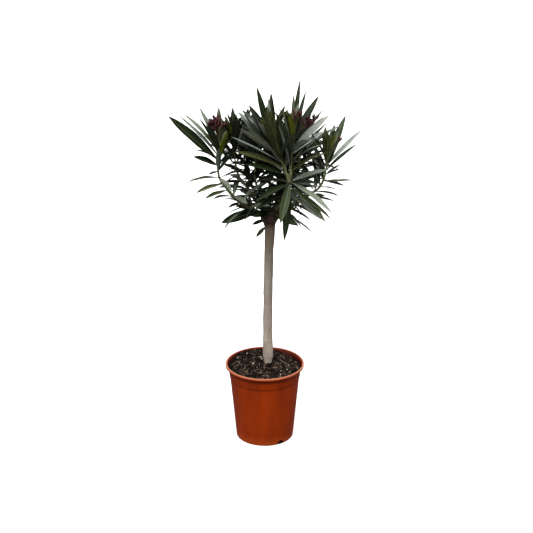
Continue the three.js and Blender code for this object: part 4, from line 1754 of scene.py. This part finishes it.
@dataclass
class BudCluster:
    """A flower head in bud: a stalk with short side branches, each ending in a few pointed, rosy buds.

    profile is a bud's outline from foot to point: shares of its length and of its radius. The first
    calyx_rows of it are the dark calyx.
    """

    apex: np.ndarray
    along: np.ndarray
    buds: int
    order: float
    bare: float
    head: float = 0.022
    branch: float = 0.030
    spread: float = 44.0
    per_branch: int = 5
    bud_length: float = 0.0145
    bud_radius: float = 0.0017
    bud_sides: int = 8
    profile: ClassVar[tuple[tuple[float, float], ...]] = (
        (0.0, 0.45), (0.12, 0.72), (0.24, 0.66), (0.38, 0.86), (0.58, 1.0), (0.76, 0.82), (0.90, 0.5),
        (1.0, 0.10))
    calyx_rows: int = 2
    stem_radius: float = 0.0015
    branch_radius: float = 0.0008
    seed: int = 700
    rose: BudSkin = BudSkin("bud_rose", (0.060, 0.011, 0.015))
    dark: BudSkin = BudSkin("bud_dark", (0.018, 0.005, 0.007))
    pale: BudSkin = BudSkin("bud_pale", (0.130, 0.046, 0.040))
    stalk: BudSkin = BudSkin("bud_stalk", (0.085, 0.04, 0.022))

    def skin(self, skin: Skin) -> None:
        """Adds the flower head.

        Args:
            skin: The skin that it joins.
        """
        pick = random.Random(self.seed + int(self.order))
        first, second = across(self.along)
        size = (self.buds / Bloom.FULL.value) ** 0.38
        end = self.apex + self.along * (self.bare + self.head * size)
        self._twig(skin, self.apex - self.along * 0.002, end, self.stem_radius)
        branches = max(2, self.buds // self.per_branch)
        for number in range(branches):
            share = (number + 0.5) / branches
            turn = number * GOLDEN_TURN + pick.uniform(-0.3, 0.3)
            angle = math.radians(self.spread * (1 - share) ** 0.5 + pick.uniform(-6, 6))
            way = unit(turned(self.along, turned(first, second, turn), angle))
            start = self.apex + self.along * (self.bare + self.head * size * share)
            foot = start + way * self.branch * size * pick.uniform(0.45, 1.05)
            self._twig(skin, start, foot, self.branch_radius)
            side, other = across(way)
            for bud in range(self.per_branch):
                around = 2.1 * bud + pick.uniform(-0.4, 0.4)
                lean = 0.0 if bud == 0 else pick.uniform(0.35, 0.75)
                tip = unit(way + turned(side, other, around) * lean + UP * 0.9)
                self._bud(skin, foot - way * (0.0 if bud == 0 else 0.004), tip, pick)

    def _twig(self, skin: Skin, start: np.ndarray, end: np.ndarray, radius: float) -> None:
        """Adds one stalk.

        Args:
            skin: The skin that it joins.
            start: Its foot.
            end: Its end.
            radius: Its radius.
        """
        line = np.array([start + (end - start) * share for share in np.linspace(0.0, 1.0, 3)])
        skin.add_limb(Spine(line, np.full(3, radius)), self.stalk, sides=6, steps=3)

    def _bud(self, skin: Skin, foot: np.ndarray, way: np.ndarray, pick: random.Random) -> None:
        """Adds one bud with its calyx.

        Args:
            skin: The skin that it joins.
            foot: Its foot.
            way: The direction that it points in.
            pick: The draw of random numbers.
        """
        size = pick.uniform(0.72, 1.12)
        places, radii = np.array(self.profile).T
        line = foot + (places * self.bud_length * size)[:, None] * way
        first, second = across(way)
        points = [centre + radius * turned(first, second, turn)
                  for centre, radius in zip(line, radii * self.bud_radius * size)
                  for turn in circle(self.bud_sides)]
        colour = pick.choice((self.rose, self.dark, self.pale))
        faces = tube_faces(len(radii), self.bud_sides)
        calyx = self.calyx_rows * self.bud_sides
        wears = [int(face >= calyx) for face in range(len(faces))]
        skin.add(np.array(points), faces, [self.dark, colour], wears)


@dataclass(frozen=True)
class Sprout:
    """A single leaf that has broken from the old wood of the trunk's head."""

    side: Side
    azimuth: float
    drop: float
    aim: Aim
    standoff: ClassVar[float] = 0.0105

    def leaf(self, head: np.ndarray, number: int) -> Leaf:
        """Places the leaf.

        Args:
            head: The middle of the trunk's head.
            number: Which sprout it is.

        Returns:
            The leaf.
        """
        out, aim = heading(self.azimuth), self.aim
        return Leaf(base=head + out * self.standoff - UP * self.drop, along=UP, out=out, angle=90.0,
                    length=aim.length, bend=aim.sag, droop=0.0, roll=aim.roll, fold=16.0,
                    tone=aim.tone or LeafTone.DEEP, seed=50.0 + number, breadth=aim.breadth,
                    aimed=heading(aim.azimuth, aim.pitch))


@dataclass
class Crown:
    """The whole head of the plant: its boughs, its shoots and what grows on them."""

    trunk: Trunk
    shoots: list[Shoot]
    sprouts: tuple[Sprout, ...] = (
        Sprout(Side.LEFT, 200.0, 0.006, Aim(0, 187, -20, 0.036, 12, 60, breadth=0.9)),
        Sprout(Side.LEFT, 215.0, 0.024, Aim(0, 196, -46, 0.036, 14, 60, LeafTone.FULL)),
        Sprout(Side.LEFT, 262.0, -0.012, Aim(0, 214, 4, 0.058, 8, 40, LeafTone.DEEP, 1.5)),
        Sprout(Side.LEFT, 282.0, -0.010, Aim(0, 226, 6, 0.060, 8, 35, LeafTone.FULL, 1.3)),
        Sprout(Side.FRONT, 300.0, -0.014, Aim(0, 232, 10, 0.062, 8, 30, LeafTone.DEEP, 1.4)),
        Sprout(Side.RIGHT, 330.0, -0.010, Aim(0, 342, -20, 0.074, 14, -60, LeafTone.OLIVE, 1.4)),
        Sprout(Side.RIGHT, 345.0, -0.012, Aim(0, 350, 14, 0.066, 6, -40, LeafTone.OLIVE, 1.0)))

    def build(self) -> None:
        """Grows every shoot, and makes the pieces."""
        leafy = self._build_limbs()
        for side in Side:
            self._build_foliage(side, leafy[side])
        self._build_buds()

    def _build_limbs(self) -> dict[Side, list[Shoot]]:
        """Grows every shoot with its spurs, and makes one piece of each shoot's wood.

        Returns:
            The shoots and spurs of each side.
        """
        head = self.trunk.head
        finish = BoughBark("bough_bark", tuple(float(part) for part in head))
        grown: dict[str, Shoot] = {}
        leafy: dict[Side, list[Shoot]] = {side: [] for side in Side}
        for order, shoot in enumerate(self.shoots, 1):
            shoot.order = order
            foot = grown[shoot.base].path.points[-1] if shoot.base else head
            shoot.grow(head, foot)
            grown[shoot.name] = shoot
            spurs = [shoot.spur(number) for number in range(shoot.spurs)]
            leafy[shoot.side] += [shoot, *spurs]
            wood = Skin()
            for part in (shoot, *spurs):
                part.wood_skin(wood, finish)
            wood.build(f"limb_{shoot.name}", Slot.GREEN_WOOD, [shoot.bough], crease=50.0)
        return leafy

    def _build_foliage(self, side: Side, leafy: list[Shoot]) -> None:
        """Makes one side's piece of leaves.

        Args:
            side: The side.
            leafy: Its shoots and spurs.
        """
        leaves = Skin()
        count = sum(shoot.leaf_skin(leaves) for shoot in leafy)
        for number, sprout in enumerate(self.sprouts):
            if sprout.side is side:
                sprout.leaf(self.trunk.head, number).skin(leaves)
        LOG.info("%s: %d leaves on %d shoots", side.value, count, len(leafy))
        masses = [mass for shoot in self.shoots if shoot.side is side for mass in shoot.masses]
        leaves.build(side.value, Slot.LEAF, masses, crease=65.0)

    def _build_buds(self) -> None:
        """Makes the piece of all the flower heads."""
        buds = Skin()
        for shoot in self.shoots:
            for number, truss in enumerate(shoot.trusses):
                way = heading(truss.azimuth, truss.pitch)
                BudCluster(shoot.path.points[-1], way, truss.bloom.value, 10 * shoot.order + number,
                           truss.stalk).skin(buds)
        buds.build("flower_buds", Slot.BUDS)


def oleander_shoots() -> list[Shoot]:
    """The plant's shoots, with the places of their tips measured from the head.

    Returns:
        The shoots, a bough's own shoot always before the ones that spring from it.
    """
    deep, full, olive, young = LeafTone.DEEP, LeafTone.FULL, LeafTone.OLIVE, LeafTone.YOUNG
    # The pale leaves carry a painted highlight, and the waxy ones are partly painted sheen.
    waxy, pale = LeafTone.WAXY_SHEEN, LeafTone.PAINTED_SHEEN
    return [
        Shoot("left_front", Side.LEFT, 196, 0.127, 0.190, 13, 0.130, 10, -4, nose=22, tip_leaf=0.45,
              extra_masses=("leaves_left_front_low",), trusses=(Truss(Bloom.FULL, 212, 80, 0.028),),
              fallen=((8, 0), (8, 1), (9, 0), (9, 1)), aims=(
                  Aim(0, 60, 45, 0.050), Aim(0, 180, 40, 0.045), Aim(0, 310, 25, 0.045),
                  Aim(1, 92, 59, 0.110, tone=olive), Aim(1, 190, 50, 0.070), Aim(1, 320, 38, 0.070),
                  Aim(2, 140, 59, 0.122, tone=waxy), Aim(2, 155, 42, 0.132, tone=waxy),
                  Aim(2, 222, 57, 0.115, 3, 25, deep, 1.3),
                  Aim(3, 158, 41, 0.140, tone=waxy), Aim(3, 77, 46, 0.112),
                  Aim(4, 197, 44, 0.171, 0, 50, deep, 1.25), Aim(4, 229, 27, 0.090, 25, 10, deep, 0.9),
                  Aim(5, 320, 68, 0.100, tone=young), Aim(5, 219, 24, 0.082, 6, 45, deep, 1.4),
                  Aim(5, 327, 46, 0.095, tone=deep), Aim(6, 55, 28, 0.085, tone=deep),
                  Aim(7, 336, 20, 0.075, 20, tone=deep),
                  Aim(6, 275, 62, 0.075, tone=waxy), Aim(6, 240, 2, 0.042, 8, 30, deep, 0.7),
                  Aim(7, 292, -7, 0.090, tone=waxy), Aim(7, 212, 1, 0.088, 22, 25, full, 0.8),
                  Aim(8, 228, -3, 0.094, 16, 35, olive, 1.0), Aim(9, 235, 0, 0.092, 10, 30, full, 0.9),
                  Aim(10, 234, 9, 0.080, 22, 30, full, 0.8), Aim(10, 294, 2, 0.085, tone=waxy),
                  Aim(11, 226, -6, 0.042, 10, 30, deep), Aim(12, 231, -21, 0.100, 25, tone=full))),
        Shoot("left_back", Side.LEFT, 158, 0.096, 0.176, 12, 0.132, 50, 6, nose=18,
              trusses=(Truss(Bloom.SPRIG, 200, 72, 0.040),),
              fallen=((5, 1), (6, 0), (6, 1), (7, 0), (7, 1)), aims=(
                  Aim(6, 127, -30, 0.055, tone=deep), Aim(7, 126, -25, 0.060, tone=deep),
                  Aim(0, 150, 70, 0.080, tone=deep, breadth=0.7), Aim(0, 20, 74, 0.082, tone=full),
                  Aim(3, 116, -10, 0.070, tone=deep), Aim(4, 111, 7, 0.075, tone=deep),
                  Aim(1, 95, 62, 0.108, tone=deep), Aim(2, 100, 32, 0.100, tone=waxy), Aim(3, 76, 44, 0.120),
                  Aim(5, 153, 31, 0.090))),
        Shoot("inner_left", Side.LEFT, 140, 0.045, 0.160, 11, 0.118, 10, 5, aims=(
            Aim(2, 190, 45, 0.080, roll=40, tone=pale), Aim(3, 100, 76, 0.125),
            Aim(2, 144, 12, 0.060, tone=deep), Aim(3, 130, 3, 0.055, tone=deep),
            Aim(1, 214, 41, 0.080, 0, 30, pale, 1.1), Aim(4, 206, 14, 0.075, 8, 15, deep, 0.7),
            Aim(5, 207, 0, 0.082, 16, 10, deep, 0.7), Aim(5, 202, 24, 0.075, tone=deep, breadth=0.8),
            Aim(6, 187, 23, 0.080, tone=deep, breadth=0.8))),
        Shoot("front", Side.FRONT, 299, 0.103, 0.118, 5, 0.110, 34, 10, spread=118, nose=102, ease=4,
              droop=0.25, whole=True, tones=(waxy, deep, full), aims=(
                  Aim(0, 251, -49, 0.112, 8, tone=full, breadth=1.25), Aim(0, 313, -19, 0.150, 12, tone=waxy),
                  Aim(0, 25, 10, 0.108, tone=waxy), Aim(1, 253, -71, 0.140, 6, tone=deep),
                  Aim(1, 223, -12, 0.110, tone=deep, breadth=0.9), Aim(2, 309, -23, 0.140, tone=full),
                  Aim(3, 315, -15, 0.120, tone=olive), Aim(3, 320, -22, 0.140, tone=olive),
                  Aim(4, 210, -20, 0.098, tone=deep, breadth=0.9),
                  Aim(4, 324, -26, 0.125, 6, tone=waxy, breadth=1.2))),
        Shoot("middle_front", Side.FRONT, 277, 0.090, 0.203, 9, 0.135, 6, -34, ease=5, tip_leaf=0.55,
              base="front", tones=(olive, olive, full, waxy), aims=(
                  Aim(1, 103, 60, 0.130, tone=waxy), Aim(1, 255, 75, 0.105, tone=olive, breadth=1.2),
                  Aim(2, 242, 69, 0.130, tone=olive, breadth=1.2), Aim(2, 97, 56, 0.156, tone=deep),
                  Aim(3, 141, 68, 0.174, -4, tone=deep, breadth=0.85),
                  Aim(3, 262, 62, 0.120, tone=olive, breadth=1.3),
                  Aim(4, 130, 44, 0.165, tone=deep), Aim(4, 136, 39, 0.165, tone=full),
                  Aim(5, 144, 39, 0.175, tone=waxy, breadth=1.2), Aim(5, 208, 30, 0.160, 5, 25, pale, 0.55),
                  Aim(5, 241, 61, 0.150, 5, tone=olive, breadth=1.3),
                  Aim(6, 195, 66, 0.150, 5, tone=olive, breadth=1.2),
                  Aim(6, 210, 23, 0.150, roll=45, tone=olive, breadth=0.95),
                  Aim(7, 215, 20, 0.130, roll=40, tone=deep))),
        Shoot("right_front", Side.FRONT, 300, 0.114, 0.232, 8, 0.125, 52, -4, spread=76, tip_leaf=0.45,
              base="front", tones=(full, olive, full, waxy),
              trusses=(Truss(Bloom.HALF, 340, 76, 0.026), Truss(Bloom.HALF, 334, 42, 0.033)), aims=(
                  Aim(0, 50, 76, 0.080, tone=waxy), Aim(2, 87, 59, 0.120, tone=full, breadth=0.6),
                  Aim(2, 68, 51, 0.139, tone=deep, breadth=0.55), Aim(3, 255, 59, 0.110, tone=olive),
                  Aim(3, 262, 56, 0.100, tone=young, breadth=1.2), Aim(3, 50, 46, 0.146, tone=deep),
                  Aim(4, 241, 55, 0.090, tone=waxy, breadth=0.8),
                  Aim(4, 76, 61, 0.177, 5, tone=deep, breadth=0.55),
                  Aim(4, 42, 28, 0.142, 2, -15, pale, 1.0), Aim(5, 47, 17, 0.130, 4, tone=pale, breadth=1.1),
                  Aim(5, 255, 66, 0.125, 5, tone=olive, breadth=1.3),
                  Aim(6, 250, 66, 0.150, tone=waxy, roll=50), Aim(6, 330, 30, 0.095, tone=waxy, breadth=1.1),
                  Aim(7, 240, 64, 0.158, 2, tone=deep, breadth=1.1),
                  Aim(7, 247, 58, 0.140, 5, 30, pale, 0.5))),
        Shoot("right", Side.RIGHT, 354, 0.146, 0.160, 13, 0.118, 15, 4, tip_leaf=0.5,
              tones=(full, olive, full, waxy), extra_masses=("leaves_right_low",),
              trusses=(Truss(Bloom.LAST, 350, 55, 0.048),), aims=(
                  Aim(2, 95, 62, 0.093, tone=olive), Aim(3, 91, 46, 0.110, tone=deep),
                  Aim(3, 74, 48, 0.120, tone=full), Aim(3, 51, 23, 0.172, 3, -12, pale, 0.65),
                  Aim(4, 56, 53, 0.155, tone=full), Aim(4, 45, 22, 0.130, 3, 10, deep, 0.95),
                  Aim(4, 109, 26, 0.110, tone=deep, breadth=0.8),
                  Aim(5, 45, 17, 0.062, 6, 5, deep, 0.7), Aim(5, 44, 5, 0.062, 6, 0, deep, 0.7),
                  Aim(5, 112, 41, 0.100, tone=deep), Aim(6, 100, 20, 0.110, tone=deep),
                  Aim(6, 17, -3, 0.082, -6, -10, full, 0.75), Aim(6, 23, -18, 0.066, 4, -20, deep, 1.1),
                  Aim(7, 330, -2, 0.045, 10, -10, deep, 0.8), Aim(7, 251, 12, 0.080, tone=olive),
                  Aim(7, 100, 30, 0.125, tone=deep), Aim(8, 324, 0, 0.074, 16, -25, deep, 0.9),
                  Aim(8, 85, 30, 0.115, tone=deep),
                  Aim(9, 345, -8, 0.068, 10, -20, deep, 0.8), Aim(9, 317, 10, 0.060, 10, -40))),
        Shoot("right_back", Side.RIGHT, 36, 0.100, 0.186, 12, 0.138, 50, 2, spurs=3, nose=14, tip_leaf=0.5,
              trusses=(Truss(Bloom.SPRIG, 350, 56, 0.058),), aims=(
                  Aim(2, 100, 60, 0.109, tone=full), Aim(3, 90, 55, 0.113, tone=waxy),
                  Aim(5, 318, 6, 0.090, tone=deep), Aim(6, 330, 2, 0.090, tone=deep),
                  Aim(7, 325, 0, 0.080, tone=deep))),
        Shoot("back", Side.BACK, 88, 0.100, 0.178, 13, 0.140, 30, 8, spurs=3, tip_leaf=0.5,
              aims=(Aim(3, 68, 42, 0.140), Aim(5, 135, -1, 0.130, tone=deep),
                    Aim(6, 132, 4, 0.120, tone=deep), Aim(6, 200, 8, 0.090, tone=deep))),
        Shoot("back_left", Side.BACK, 124, 0.120, 0.160, 13, 0.134, 0, 10, spurs=1,
              trusses=(Truss(Bloom.HALF, 110, 62),), fallen=((6, 0),),
              aims=(Aim(3, 120, -3, 0.100, tone=deep), Aim(4, 118, -7, 0.090, tone=deep),
                    Aim(5, 128, -12, 0.085, tone=deep, breadth=0.7),
                    Aim(6, 130, -11, 0.085, tone=deep, breadth=0.8),
                    Aim(7, 130, -9, 0.080, tone=deep, breadth=0.7))),
        Shoot("back_right", Side.BACK, 60, 0.132, 0.165, 13, 0.138, 20, 10, spurs=3, tip_leaf=0.5,
              aims=(Aim(2, 88, 60, 0.111, tone=waxy),)),
        Shoot("low_right", Side.RIGHT, 12, 0.066, 0.034, 6, 0.070, 10, 55, spread=98, nose=45, ease=4,
              whole=True, aims=(
                  Aim(0, 324, -19, 0.086, 4, -20, waxy, 1.5), Aim(2, 307, -26, 0.050, 60),
                  Aim(4, 309, -22, 0.075), Aim(5, 345, -30, 0.104, 30, tone=olive))),
        Shoot("low_left", Side.LEFT, 200, 0.045, 0.030, 4, 0.070, 40, 45, spread=98, nose=50, ease=4,
              whole=True, aims=(Aim(2, 179, 9, 0.055), Aim(3, 190, -15, 0.100, 10, 40, deep, 1.6))),
    ]


# -------------------------------------------------------------------------------------- stage


@dataclass(frozen=True)
class SoftLight:
    """One large, soft lamp of the studio, far enough away to light the floor evenly."""

    name: str
    azimuth: float
    height: float
    strength: float
    softness: float

    def build(self) -> None:
        """Hangs the lamp."""
        lamp = bpy.data.lights.new(self.name, "SUN")
        lamp.energy, lamp.angle = self.strength, math.radians(self.softness)
        hung = bpy.data.objects.new(self.name, lamp)
        hung.rotation_euler = Vector(heading(self.azimuth, self.height)).to_track_quat("Z", "Y").to_euler()
        bpy.context.scene.collection.objects.link(hung)


@dataclass
class Studio:
    """A pale floor under soft lamps, with the camera looking slightly down."""

    target: Point = (0.0047, 0.0, 0.482)
    elevation: float = 19.74
    distance: float = 2.762
    lens: float = 72.2
    paper: float = 0.93
    floor_size: float = 60.0
    below: float = 0.06
    level: float = 0.20
    above: float = 0.85
    lamps: tuple[SoftLight, ...] = (
        SoftLight("overhead", 258.0, 62.0, 3.3, 50.0),
        SoftLight("left_fill", 215.0, 26.0, 0.95, 60.0),
        SoftLight("right_fill", 325.0, 26.0, 0.6, 60.0),
        SoftLight("back_fill", 80.0, 30.0, 2.2, 60.0))

    def build(self) -> None:
        """Sets the stage."""
        self._floor()
        self._room()
        for lamp in self.lamps:
            lamp.build()
        self._camera()

    def _floor(self) -> None:
        """Lays the floor, which takes shadows and gives the plant no light of its own."""
        graph = Graph.of_material("floor_paper")
        paper = graph.finish({"Base Color": (self.paper,) * 3, "Roughness": 0.9, "Specular IOR Level": 0.1})
        mesh = bpy.data.meshes.new("floor")
        half = self.floor_size / 2
        corners = [(-half, -half, 0), (half, -half, 0), (half, half, 0), (-half, half, 0)]
        mesh.from_pydata(corners, [], [(0, 1, 2, 3)])
        mesh.materials.append(paper)
        floor = bpy.data.objects.new("floor", mesh)
        floor.visible_diffuse = floor.visible_glossy = False
        bpy.context.scene.collection.objects.link(floor)

    def _room(self) -> None:
        """Lights the room softly: most from the ceiling, less from the walls, least from below."""
        graph = Graph.of_world("room")
        way = Flow(graph, graph.node("ShaderNodeTexCoord", {}, {}).outputs["Generated"])
        rise = Flow(graph, graph.node("ShaderNodeSeparateXYZ", {}, {"Vector": way}).outputs["Z"])
        stops = [(0.0, (self.below,) * 3), (0.5, (self.level,) * 3), (1.0, (self.above,) * 3)]
        bpy.context.scene.world = graph.finish({"Color": graph.ramp(rise * 0.5 + 0.5, stops)})

    def _camera(self) -> None:
        """Places the camera."""
        lens = bpy.data.cameras.new("camera")
        lens.lens = self.lens
        camera = bpy.data.objects.new("camera", lens)
        down = math.radians(self.elevation)
        back = Vector((0.0, -math.cos(down), math.sin(down))) * self.distance
        camera.location = Vector(self.target) + back
        camera.rotation_euler = (math.radians(90.0 - self.elevation), 0.0, 0.0)
        bpy.context.scene.collection.objects.link(camera)
        bpy.context.scene.camera = camera
        bpy.context.scene.view_settings.view_transform = "Standard"


def main() -> None:
    """Builds the plant in its pot, from the ground up, and then the stage."""
    logging.basicConfig(level=logging.INFO, format="%(message)s")
    pot = Pot()
    pot.build()
    Compost(pot).build()
    trunk = Trunk()
    trunk.build()
    Crown(trunk, oleander_shoots()).build()
    Studio().build()


if __name__ == "__main__":
    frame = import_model()
    NODES.update(frame["nodes"])
    main()
